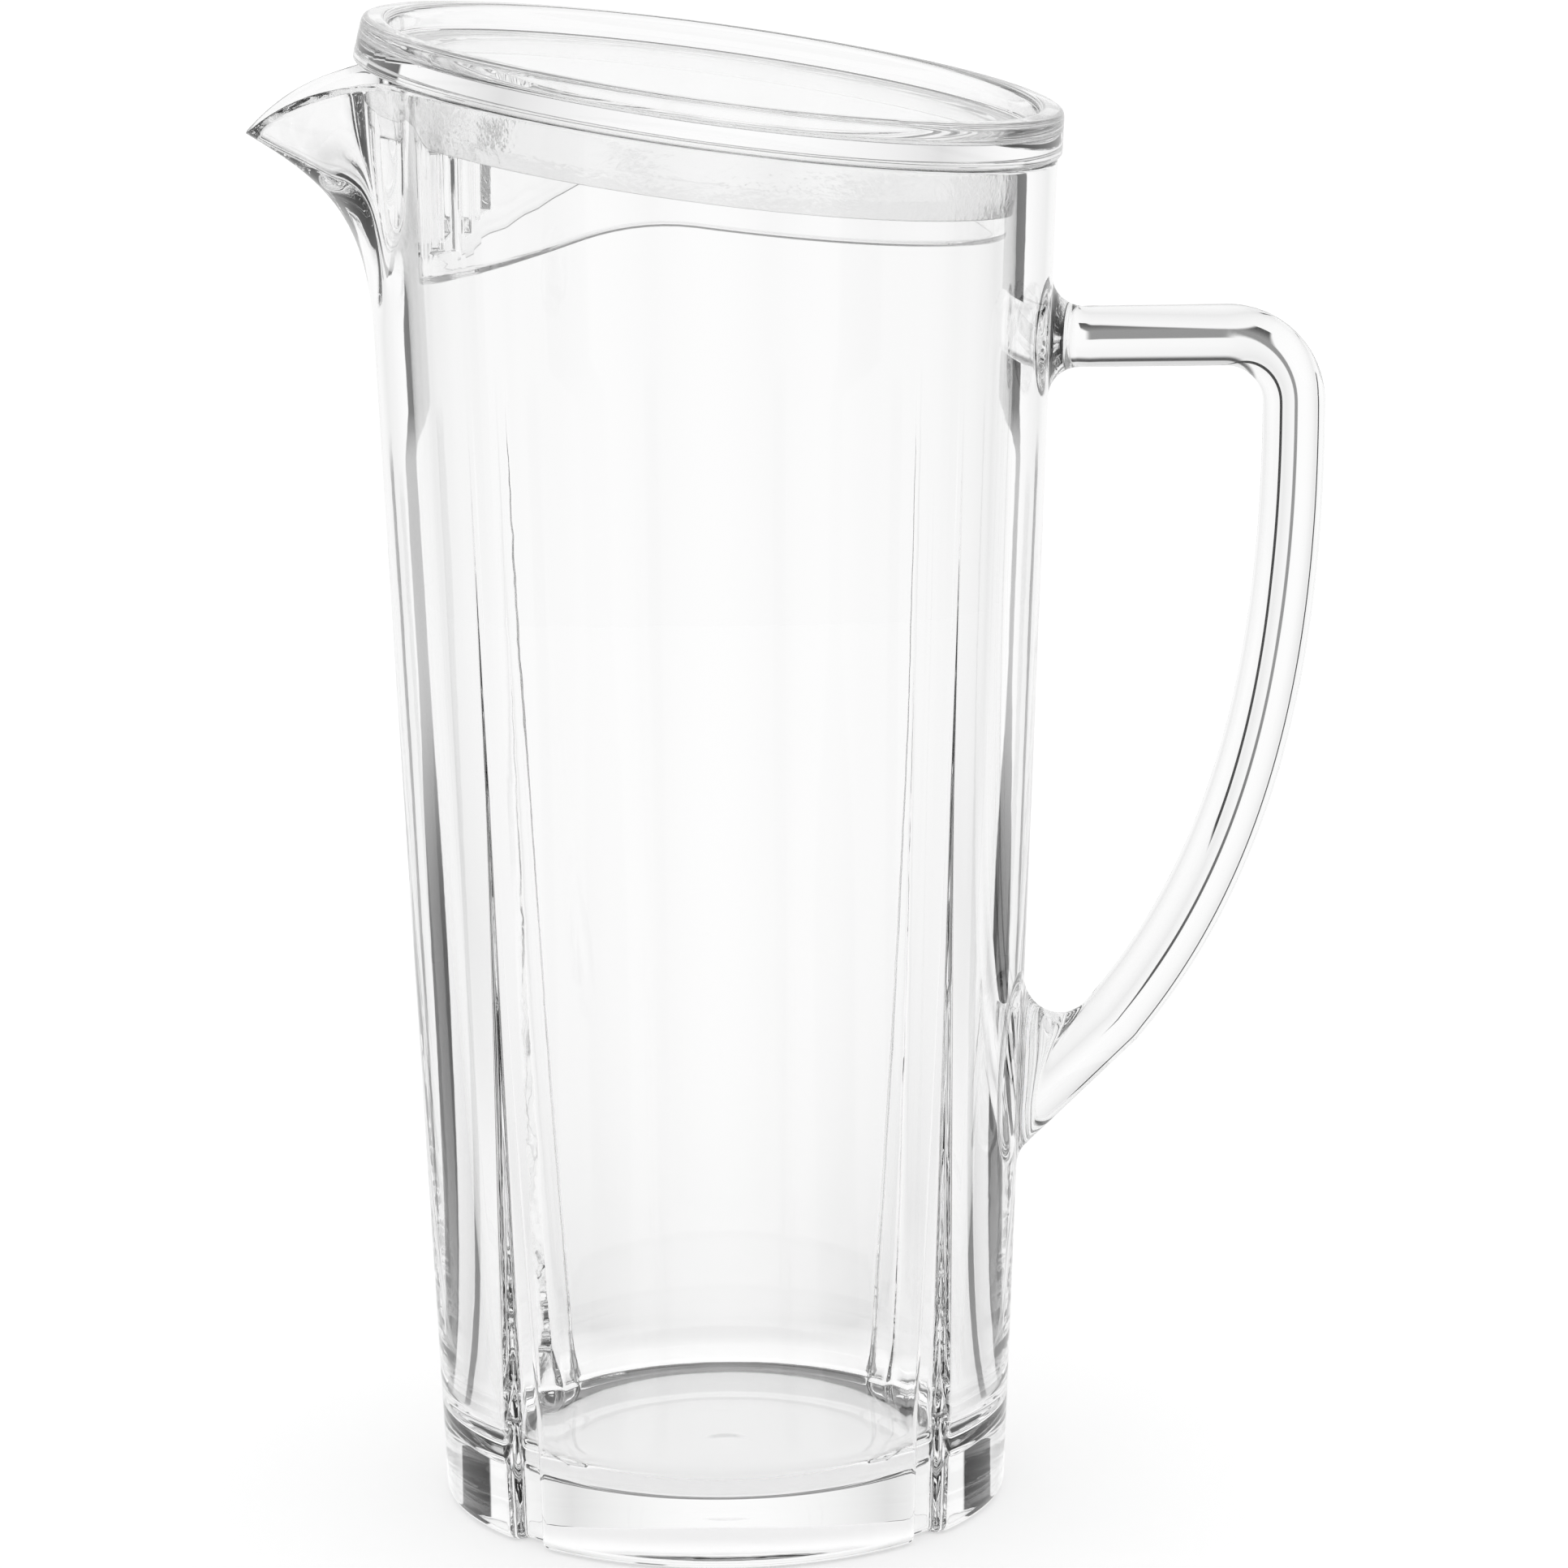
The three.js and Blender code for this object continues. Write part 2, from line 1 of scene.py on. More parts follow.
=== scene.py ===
"""A clear lidded pitcher in a white studio: the fused jug with its rod handle, the slanted lid with its
strainer skirt, and the milky seal. Sizes are in millimetres and become metres when a piece is made."""
import math

import bmesh
import bpy
import numpy as np
from mathutils import Matrix, Vector


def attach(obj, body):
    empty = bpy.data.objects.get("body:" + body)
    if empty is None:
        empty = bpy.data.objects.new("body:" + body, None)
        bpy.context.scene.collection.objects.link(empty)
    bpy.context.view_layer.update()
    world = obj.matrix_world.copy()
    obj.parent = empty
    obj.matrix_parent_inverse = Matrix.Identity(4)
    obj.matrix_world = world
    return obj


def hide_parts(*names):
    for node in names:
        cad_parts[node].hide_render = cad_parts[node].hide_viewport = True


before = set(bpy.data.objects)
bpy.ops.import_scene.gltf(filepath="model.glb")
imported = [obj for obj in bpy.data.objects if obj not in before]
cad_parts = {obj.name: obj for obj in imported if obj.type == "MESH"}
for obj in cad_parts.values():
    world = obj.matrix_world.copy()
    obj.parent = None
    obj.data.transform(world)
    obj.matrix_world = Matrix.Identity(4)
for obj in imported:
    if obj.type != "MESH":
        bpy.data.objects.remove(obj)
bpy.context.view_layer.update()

MM = 0.001

# Jug
FOOT_RADIUS = 51
FOOT_EDGE_RADIUS = 1.4
FOOT_WALL = 8.6
FLOOR_THICKNESS = 9.5
FLOOR_CORNER_RADIUS = 11
RIM_RADIUS = 61.5
RIM_HEIGHT = 252.7
RIM_WALL = 7.1
RIM_TILT = math.radians(8.4)
LIP_EDGE_RADIUS = 0.7
BORE_BELLY = 1.8
GATE_RADIUS = 7.2
GATE_DEPTH = 0.1

# Grooves of the jug
GROOVE_COUNT = 4
GROOVE_WIDTH = 7.2
GROOVE_DEPTH = 2.6
GROOVE_FLOOR_WIDTH = 5.2
GROOVE_FULL_HEIGHT = 26
GROOVE_END = RIM_HEIGHT - 42.7
GROOVE_TAPER_POWER = 1.7
GROOVE_EDGE_REACH = 1.6
GROOVE_CORNER_REACH = 0.7
GROOVE_LEAST_SHARE = 0.2
GROOVE_ZONE = 12

# Spout
SPOUT_REACH = RIM_RADIUS + 20.4
SPOUT_TIP_DEPTH = 3.4
SPOUT_KEEL = RIM_HEIGHT - 38.7
SPOUT_KEEL_RISE = math.radians(31)
SPOUT_NOSE_RADIUS = 7
SPOUT_CHANNEL_NOSE_RADIUS = 5.9
SPOUT_LIP = 2.2
SPOUT_BLEND = 6.5
SPOUT_DIP_BLEND = 20
SPOUT_DIP_EVEN = 0.37
SPOUT_LEAVE_PULL = 0.48
SPOUT_ARRIVE_PULL = 0.41
SPOUT_FLANK = math.radians(15)

# Handle
ARM_HEIGHT = RIM_HEIGHT - 41.5
ARM_ROD_RADIUS = 5.4
ROOT_ROD_RADIUS = 5.9
HANDLE_STANDOFF = 43.4
HANDLE_BEND_RADIUS = 12.2
GRIP_DROP = 59
ROOT_HEIGHT = 69.7
ROOT_ANGLE = math.radians(51.4)
ROOT_SWEEP = 46
ROOT_FILLET = 5.5
ROOT_CROTCH_FILLET = 7.6
ROOT_BURIED = 14
ROOT_SEARCH = 3 * ROOT_BURIED
ROOT_HALF_TURN = math.radians(15)
ROOT_LOW = 55.5
ROOT_HIGH = 97.5
ARM_LOW = 198.5

# Lid
SEAT_GAP = 0.3
LID_OVERHANG = 0.8
LID_RIM_HEIGHT = 8
LID_RIM_WIDTH = 4.4
LID_RIM_DRAFT = 0.8
LID_PLATE_THICKNESS = 3.4
LID_EDGE_RADIUS = 1.2
SKIRT_RADIUS = RIM_RADIUS - RIM_WALL - 2.4
SKIRT_THICKNESS = 2.4
SKIRT_DEPTH = 14.2
SKIRT_BEND_OFFSET = 12.3
SKIRT_BEND_LENGTH = 10
SKIRT_DROP = math.tan(math.radians(30))
SKIRT_EDGE_RADIUS = 1
SLOT_COUNT = 5
SLOT_PITCH = math.radians(15.3)
SLOT_WIDTH = 7
SLOT_SILL = 5
SLOT_HEAD_DEPTH = 10.2
SLOT_CORNER_RADIUS = 0.8
SLOT_EDGE_RADIUS = 0.4
SLOT_WINDOW = math.radians(5.4)

# Seal
SEAL_HEIGHT = 9.6
SEAL_LIP_HEIGHT = 3.5
SEAL_LIP_DRAW = 0.5
SEAL_NOTCH = 3.2
SEAL_NOTCH_HALF = math.radians(31)
SEAL_NOTCH_ARCH = math.radians(6)
SEAL_EDGE_RADIUS = 0.35

# How finely the surfaces are stepped
PLAIN_STEPS = 60
SPOUT_STEPS = 32
SPOUT_FINE_HALF = math.radians(32)
GROOVE_CORNER_STEPS = 4
GROOVE_EDGE_STEPS = 5
RIM_ROUNDS = 8
FOOT_STEPS = 9
LOW_WALL_STEPS = 10
ROOT_STEPS = 20
WALL_STEPS = 40
BEAK_STEPS = 30
BORE_STEPS = 39
GATE_STEPS = 7
CORNER_STEPS = 6
FILLET_STEPS = 12
ROOT_TURNS = 720
ROOT_HALVINGS = 40
ARM_STEPS = 12
BEND_STEPS = 20
GRIP_STEPS = 64
BEND_PATH_STEPS = 199
GRIP_PATH_STEPS = 1999
LID_PLAIN_STEPS = 97
SLOT_COLUMNS = 8
SLOT_ROWS = 14
SLOT_GAP_STEPS = 3
SLOT_EDGE_STEPS = 3
SEAL_STEPS = 180
SEAL_EDGE_STEPS = 4
TENT_SIDES = 64
TENT_RISES = 16

# Where the rows of flat and blended places lie, as shares of the way
ROOT_BLEND_ROWS = (0.3, 0.6, 0.85)
LIP_ROWS = (0.1, 0.5, 0.9)
FLOOR_ROWS = (0.98, 0.85, 0.6, 0.3, 0.1)
UNDERSIDE_ROWS = (0.99, 0.9, 0.6, 0.3)
GATE_INNER_ROW = 0.1
GATE_FLAT_SHARE = 0.3
PLATE_ROWS = (0.15, 0.5, 0.85, 1)
SEAT_ROWS = (0.3, 0.7, 0.95)
UNDER_PLATE_ROWS = (0.99, 0.9, 0.6, 0.25)
SKIRT_TOP_ROWS = (0, 0.02, 0.08)
SKIRT_WINDOW = (0.18, 0.93)
SKIRT_FOOT_ROWS = (0.97, 1)

# Finishes, in metres
CLEAR_TINT = (0.995, 0.995, 0.995, 1)
GLASS_INDEX = 1.5
LID_INDEX = 1.49
SEAL_INDEX = 1.41
GLASS_WAVE = 0.00002
LID_WAVE = 0.000002
WAVE_SCALE = 38
WAVELET_SCALE = 140
WAVELET_SHARE = 0.25
MARK_SCALE = 420
MARK_DETAIL = 4
MARK_ROUGHNESS = 0.01
RIPPLE_HEIGHT = 2.4
RIPPLE_SCALE = (130, 130, 330)
RIPPLE_PLAIN = 0.06
RIPPLE_FULL = 0.024
RIPPLE_END = 0.046
RIPPLE_EDGE = (0.0002, 0.0006)
RIPPLE_FLOOR = (0.003, 0.004)
SEAL_CLEARNESS = 0.97
SEAL_ROUGHNESS = 0.04
SEAL_CLOUD_SCALE = 60
SEAL_CLOUD_DETAIL = 3
SEAL_CLOUD_ROUGHNESS = 0.1
SEAL_GRAIN_SCALE = 900
SEAL_GRAIN_HEIGHT = 0.0002
SEAL_GRAIN_STRENGTH = 0.3

# Studio floor and room, in metres
FLOOR_REACH = 6
FLOOR_GAP = 0.0003
FLOOR_COLOUR = (0.8, 0.8, 0.8, 1)
FLOOR_GLOW = 0.45
FLOOR_GLASS_GLOW = 0.36
FOOT_GLOW = 0.28
FOOT_GLOW_REACH = FOOT_RADIUS * 1.3
ROOM_LIGHT = 0.8
BOUNCES = 32
INSIDE_BOUNCES = 20

# Light tent round the part, and how near its marks begin
TENT_RADIUS = 0.8
TENT_GLOW = 0.99
# Painted shade on the tent's cloth, darker towards its ribs, for light straight through and for light
# reflected inside the glass
TENT_PAINTED_SHADE = 0.16
TENT_PAINTED_SHADE_INSIDE = 0.25
MARKS_START = 0.065
MARKS_FULL = 0.085
FRONT_MARKS = 0.45
FRONT_REACH = TENT_RADIUS / 4
STRAIGHT_LIMIT = 0.5
SINGLE_LIMIT = 2.5
SOFT_EDGE = 0.02

# Ribs of the tent
TENT_RIBS = 8
RIB_SHARE = 0.12
RIB_SHARP = 0.7
RIB_REACH = 0.13
RIB_TOP = 0.05

# Masts and flag, which only the rods and the lid's ring show
MAST_START = 0.4
MAST_PLACE = math.radians(29)
MAST_HALF = math.radians(1.6)
FLAG_LEFT = math.radians(7.6)
FLAG_RIGHT = math.radians(12.6)
FLAG_START = 0.43
FLAG_END = 0.8
FLAG_TOP = 0.13
FLAG_SHADE = 0.98
FLAG_FADE = 0.25

# Cards, which only light that was reflected inside the glass shows
CARD_PLACE = math.radians(52.5)
CARD_PLACE_ON_FLOOR = math.radians(43.5)
CARD_HALF = math.radians(1.6)
CARD_NEAR_WIDER = math.radians(6.05)
CARD_LEFT_WIDER = math.radians(2.9)
CARD_TOP = 0.4
CARD_NEAR = 0.35
CARD_FAR = 0.7
CARD_FADE = 0.45

# Dark ceiling with its paler middle
CEILING_START = 0.44
CEILING_FULL = 0.54
CEILING_SHADE = 0.93
CEILING_MIDDLE = 0.57
CEILING_PALER = 0.2
CEILING_PALER_TO_RODS = 0.8

# Camera, in metres, degrees and the photograph's pixels
PHOTO_SIZE = 1932
FOCAL_PIXELS = 8341
SENSOR_WIDTH = 36
CAMERA_PLACE = Vector((-0.01082, -1.18658, 0.39745))
CAMERA_YAW = math.radians(1.096)
CAMERA_PITCH = math.radians(12.67)
CAMERA_ROLL = -0.0096


def lerp(start, end, share):
    return start + (end - start) * share


def smoothstep(value, low, high):
    share = np.clip((value - low) / (high - low), 0, 1)
    return share * share * (3 - 2 * share)


def polar(radius, angle, z):
    return np.stack(np.broadcast_arrays(radius * np.cos(angle), radius * np.sin(angle), z), axis=-1)


def unit(vectors):
    return vectors / np.linalg.norm(vectors, axis=-1, keepdims=True)


def bezier(controls, shares):
    """Points of a Bezier curve, or of a row of them, at these shares of its run."""
    layers = [np.asarray(control, float) for control in controls]
    shares = np.reshape(shares, (-1,) + (1,) * layers[0].ndim)
    while len(layers) > 1:
        layers = [lerp(low, high, shares) for low, high in zip(layers, layers[1:])]
    return layers[0]


def round_corner(corner, before, after, reach, steps=CORNER_STEPS):
    """Points round the corner between two directions that leave it."""
    controls = [corner + reach * before, corner, corner + reach * after]
    return bezier(controls, np.linspace(0, 1, steps + 1))


class Skin:
    """The closed surface of one piece."""

    def __init__(self):
        self.points = []
        self.faces = []

    def add(self, points):
        """Adds points and returns their numbers in the same layout."""
        points = np.asarray(points, float)
        start = len(self.points)
        self.points.extend(points.reshape(-1, 3))
        return np.arange(start, len(self.points)).reshape(points.shape[:-1])

    def band(self, low, high, shown=None):
        """Faces between two closed rings of points, all or only those that are shown."""
        for side in range(len(low)):
            following = (side + 1) % len(low)
            if shown is None or shown[side]:
                self.faces.append((low[side], low[following], high[following], high[side]))

    def rings(self, rings):
        for low, high in zip(rings, rings[1:]):
            self.band(low, high)

    def cap(self, ring, centre):
        middle = self.add(centre)
        for side in range(len(ring)):
            self.faces.append((ring[side], ring[(side + 1) % len(ring)], int(middle)))

    def make(self, name, material, body, slot, *nodes):
        """Makes the piece, which rides on a body and stands for these nodes."""
        mesh = bpy.data.meshes.new(name)
        mesh.from_pydata(np.array(self.points) * MM, [], [tuple(map(int, face)) for face in self.faces])
        shape = bmesh.new()
        shape.from_mesh(mesh)
        bmesh.ops.recalc_face_normals(shape, faces=shape.faces)
        shape.to_mesh(mesh)
        shape.free()
        mesh.shade_smooth()
        mesh.materials.append(material)
        piece = bpy.data.objects.new(name, mesh)
        bpy.context.scene.collection.objects.link(piece)
        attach(piece, body)
        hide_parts(*nodes)
        return piece


# Jug: its plain surfaces
WALL_SLOPE = (RIM_RADIUS - FOOT_RADIUS) / RIM_HEIGHT


def wall_radius(z):
    return FOOT_RADIUS + WALL_SLOPE * z


def bore_radius(z):
    share = (z - FLOOR_THICKNESS) / (RIM_HEIGHT - FLOOR_THICKNESS)
    taper = lerp(FOOT_RADIUS - FOOT_WALL, RIM_RADIUS - RIM_WALL, share)
    return taper + 4 * BORE_BELLY * share * (1 - share)


def rim_drop(x):
    """Height of the slanted rim, from its height on the axis."""
    return -x * math.tan(RIM_TILT)


def rim_radius(radius_at, angle):
    """Radius at which a side of the jug meets the slanted rim, by repeated substitution."""
    radius = RIM_RADIUS
    for _ in range(RIM_ROUNDS):
        radius = radius_at(RIM_HEIGHT + rim_drop(radius * np.cos(angle)))
    return radius


def beak_radius(angle, reach, nose, rim, blend):
    """Plan of the beak: a parabola, softly joined to the rim."""
    along = np.maximum(-np.cos(angle), 0)
    across = np.sin(angle)
    root = np.sqrt((nose * along) ** 2 + 2 * nose * reach * across ** 2)
    beak = 2 * nose * reach / np.maximum(nose * along + root, nose)
    near = np.maximum(blend - np.abs(beak - rim), 0) / blend
    return np.where(along > 0, np.maximum(beak, rim) + near ** 2 * blend / 4, rim)


def beak_side(angle, radius_at, start_height, reach, nose):
    """Curves from below the spout to the lip at each angle, and the slope at the lip. A curve leaves along
    the wall and arrives along the beak's slope, so away from the spout it is the plain wall."""
    rim = rim_radius(radius_at, angle)
    tip_rim = rim_radius(radius_at, math.pi)
    radius = beak_radius(angle, reach, nose, rim, SPOUT_BLEND)
    share = (beak_radius(angle, reach, nose, rim, SPOUT_DIP_BLEND) - rim) / (reach - tip_rim)
    tip_drop = rim_drop(-SPOUT_REACH) + SPOUT_TIP_DEPTH
    drop = tip_drop * lerp(share ** 2, share, SPOUT_DIP_EVEN)
    start = polar(radius_at(start_height), angle, start_height)
    lip = polar(radius, angle, RIM_HEIGHT + rim_drop(radius * np.cos(angle)) - drop)
    wall_rise = math.atan2(1, radius_at(start_height + 1) - radius_at(start_height))
    lip_rise = lerp(SPOUT_KEEL_RISE, wall_rise, smoothstep(np.abs(angle - math.pi), 0, SPOUT_FLANK))
    lip_slope = polar(np.cos(lip_rise), angle, np.sin(lip_rise))
    wall_up = polar(math.cos(wall_rise), angle, math.sin(wall_rise))
    chord = np.linalg.norm(lip - start, axis=-1, keepdims=True)
    leave = start + SPOUT_LEAVE_PULL * chord * wall_up
    arrive = lip - SPOUT_ARRIVE_PULL * chord * lip_slope
    return [start, leave, arrive, lip], lip_slope


# Jug: the columns of its skin
def groove_section():
    """Half of a groove's section from its middle: how far across, and the part of the full depth."""
    floor_corner = np.array([GROOVE_FLOOR_WIDTH / 2, -GROOVE_DEPTH])
    edge = np.array([GROOVE_WIDTH / 2, 0])
    side = unit(edge - floor_corner)
    inward = np.array([-1.0, 0])
    low = round_corner(floor_corner, inward, side, GROOVE_CORNER_REACH, GROOVE_CORNER_STEPS)
    high = round_corner(edge, -side, -inward, GROOVE_EDGE_REACH, GROOVE_EDGE_STEPS)
    floor = [[0, -GROOVE_DEPTH], low[0] / [2, 1]]
    section = np.concatenate([floor, low, high])
    return section[:, 0], -section[:, 1] / GROOVE_DEPTH


def plain_angles():
    """Angles round the jug, closer at the handle's roots and at the spout."""
    spout_start = math.pi - SPOUT_FINE_HALF
    half = np.concatenate([
        np.linspace(0, ROOT_HALF_TURN, ROOT_STEPS // 2, endpoint=False),
        np.linspace(ROOT_HALF_TURN, spout_start, PLAIN_STEPS, endpoint=False),
        np.linspace(spout_start, math.pi, SPOUT_STEPS + 1),
    ])
    return np.concatenate([half, 2 * math.pi - half[-2:0:-1]])


class Columns:
    """The columns of the jug's skin: the middle of the groove that each is next to, how far from it the
    column lies at the foot, and its part of the groove's depth."""

    def __init__(self):
        across, deep = groove_section()
        self.groove_edge = across[-1]
        pitch = 2 * math.pi / GROOVE_COUNT
        plain = plain_angles()
        middles = (np.floor(plain / pitch) + 0.5) * pitch
        offsets = (plain - middles) * FOOT_RADIUS
        columns = [(m, o, 0) for m, o in zip(middles, offsets) if abs(o) > self.groove_edge + 1]
        for groove in range(GROOVE_COUNT):
            middle = (groove + 0.5) * pitch
            columns += [(middle, a, d) for a, d in zip(across, deep)]
            columns += [(middle, -a, d) for a, d in zip(across[1:], deep[1:])]
        columns.sort(key=lambda column: column[0] + column[1] / FOOT_RADIUS)
        self.middle, self.across, self.deep = np.array(columns).T
        self.above = self.angle(GROOVE_END)

    def share(self, z):
        """The groove's share of its full section at this height."""
        left = np.clip((GROOVE_END - z) / (GROOVE_END - GROOVE_FULL_HEIGHT), 0, 1)
        return left ** GROOVE_TAPER_POWER

    def angle(self, z):
        """Angle of each column. Those of a groove draw together as it narrows, and their neighbours
        follow."""
        width = max(self.share(z), GROOVE_LEAST_SHARE)
        far = 2 * math.pi * FOOT_RADIUS
        places = [0, self.groove_edge, GROOVE_ZONE, far]
        turns = [0, width * self.groove_edge / wall_radius(z), GROOVE_ZONE / FOOT_RADIUS, far / FOOT_RADIUS]
        return self.middle + np.sign(self.across) * np.interp(np.abs(self.across), places, turns)

    def wall(self, z, inset=0):
        radius = wall_radius(z) - inset - self.share(z) * self.deep * GROOVE_DEPTH
        return polar(radius, self.angle(z), z)

    def near_handle(self):
        """The columns across the handle's roots, from one side to the other."""
        turn = (self.above + math.pi) % (2 * math.pi) - math.pi
        inside = np.flatnonzero(np.abs(turn) < ROOT_HALF_TURN + 1e-6)
        return inside[np.argsort(turn[inside])]


# Handle: a rod along a flat path, with fillets at its roots
def on_wall(points):
    """The same places on the plain wall."""
    facing = np.arctan2(points[..., 1], points[..., 0])
    return polar(wall_radius(points[..., 2]), facing, points[..., 2])


class Rod:
    def __init__(self):
        arm_wall = wall_radius(ARM_HEIGHT)
        grip_x = arm_wall + HANDLE_STANDOFF
        bend = np.array([grip_x - HANDLE_BEND_RADIUS, ARM_HEIGHT - HANDLE_BEND_RADIUS])
        root_out = np.array([math.sin(ROOT_ANGLE), math.cos(ROOT_ANGLE)])
        root = np.array([wall_radius(ROOT_HEIGHT), ROOT_HEIGHT])
        grip_top = bend + [HANDLE_BEND_RADIUS, 0]
        controls = [grip_top, grip_top - [0, GRIP_DROP], root + ROOT_SWEEP * root_out, root]
        arm = [[arm_wall - ROOT_BURIED, ARM_HEIGHT], [bend[0], ARM_HEIGHT]]
        turns = np.linspace(math.pi / 2, 0, BEND_PATH_STEPS + 1)[1:]
        arc = bend + HANDLE_BEND_RADIUS * np.stack([np.cos(turns), np.sin(turns)], axis=-1)
        grip = bezier(controls, np.linspace(0, 1, GRIP_PATH_STEPS + 1)[1:])
        self.path = np.concatenate([arm, arc, grip, [root - ROOT_BURIED * root_out]])
        steps = np.linalg.norm(np.diff(self.path, axis=0), axis=1)
        self.run = np.concatenate([[0], np.cumsum(steps)])
        self.length = self.run[-1]
        self.arm_end = self.run[1]
        self.bend_end = self.run[1 + len(arc)]
        slopes = unit(np.gradient(self.path, self.run, axis=0))
        slopes[:2] = [1, 0]
        slopes[-2:] = -root_out
        self.slopes = slopes

    def along(self, values, distance):
        return np.stack([np.interp(distance, self.run, values[:, axis]) for axis in (0, 1)], axis=-1)

    def point(self, distance, turn):
        centre = self.along(self.path, distance)
        slope = unit(self.along(self.slopes, distance))
        radius = lerp(ARM_ROD_RADIUS, ROOT_ROD_RADIUS, np.clip(distance / self.length, 0, 1))
        inward = radius * np.cos(turn)
        x = centre[..., 0] + inward * slope[..., 1]
        z = centre[..., 1] - inward * slope[..., 0]
        return np.stack(np.broadcast_arrays(x, radius * np.sin(turn), z), axis=-1)

    def fillet(self, turn, end):
        """Fillets on these sides of a root, from the wall to the rod, and where each ends along the rod."""
        turn = np.asarray(turn, float)
        buried = np.full(turn.shape, float(end))
        clear = np.full(turn.shape, abs(end - ROOT_SEARCH))
        for _ in range(ROOT_HALVINGS):
            middle = (buried + clear) / 2
            place = self.point(middle, turn)
            outside = np.hypot(place[..., 0], place[..., 1]) > wall_radius(place[..., 2])
            clear = np.where(outside, middle, clear)
            buried = np.where(outside, buried, middle)
        leaving = np.sign(clear - end)
        corner = self.point(clear, turn)
        up = unit(self.point(clear + leaving, turn) - corner)
        facing = np.arctan2(corner[..., 1], corner[..., 0])
        normal = unit(polar(1, facing, -WALL_SLOPE))
        side = unit(corner - self.point(clear, turn + math.pi))
        spread = unit(side - normal * np.sum(side * normal, axis=-1, keepdims=True))
        arc = math.pi - np.arccos(np.clip(np.sum(up * spread, axis=-1), -1, 1))
        sharpness = np.clip((arc - math.pi / 2) / (math.pi / 2 - ROOT_ANGLE), 0, 1)
        reach = lerp(ROOT_FILLET, ROOT_CROTCH_FILLET, sharpness) * np.tan(arc / 2)
        pull = (4 / 3 * np.tan(arc / 4) / np.tan(arc / 2))[..., None]
        distance = clear + leaving * reach
        on_rod = self.point(distance, turn)
        foot = on_wall(corner + reach[..., None] * spread)
        controls = [foot, lerp(foot, corner, pull), lerp(on_rod, corner, pull), on_rod]
        return bezier(controls, np.linspace(0, 1, FILLET_STEPS + 1)), distance


def frame_loop(ids, rows, columns):
    """Numbers round the edge of a window in a grid of points."""
    window = ids[np.ix_(rows, columns)]
    return np.concatenate([window[0, :-1], window[:-1, -1], window[-1, :0:-1], window[:0:-1, 0]])


def handle_skin(skin, upper_loop, lower_loop):
    """The handle's skin, from a window in the wall to the other."""
    rod = Rod()
    points = np.array(skin.points)
    table = np.linspace(0, 2 * math.pi, ROOT_TURNS + 1)
    rings = []
    sides = []
    for loop, end, upright in ((upper_loop, 0, -1), (lower_loop, rod.length, 1)):
        edge = points[loop]
        centre = (edge[:, 2].min() + edge[:, 2].max()) / 2
        half_width = np.abs(edge[:, 1]).max()
        half_height = (edge[:, 2].max() - edge[:, 2].min()) / 2

        def clock(place):
            across = place[:, 1] / half_width
            return np.arctan2(across, upright * (place[:, 2] - centre) / half_height)

        foot = rod.fillet(table, end)[0][0]
        order = np.argsort(np.round(clock(edge), 9) % (2 * math.pi))
        hours = clock(edge[order]) % (2 * math.pi)
        turn = np.interp(hours, np.unwrap(clock(foot)), table)
        curve, distance = rod.fillet(turn, end)
        between = [on_wall(lerp(edge[order], curve[0], share)) for share in ROOT_BLEND_ROWS]
        rings.append([loop[order]] + [skin.add(ring) for ring in [*between, *curve]])
        sides.append((turn, distance))
    (upper_turn, upper_end), (lower_turn, lower_end) = sides
    start = upper_end.max() + 1
    stop = lower_end.min() - 1
    stations = np.concatenate([
        np.linspace(start, rod.arm_end, ARM_STEPS, endpoint=False),
        np.linspace(rod.arm_end, rod.bend_end, BEND_STEPS, endpoint=False),
        np.linspace(rod.bend_end, stop, GRIP_STEPS + 1),
    ])
    middle = []
    for distance in stations:
        turn = lerp(upper_turn, lower_turn, distance / rod.length)
        middle.append(skin.add(rod.point(np.full(turn.shape, distance), turn)))
    skin.rings(rings[0] + middle + rings[1][::-1])


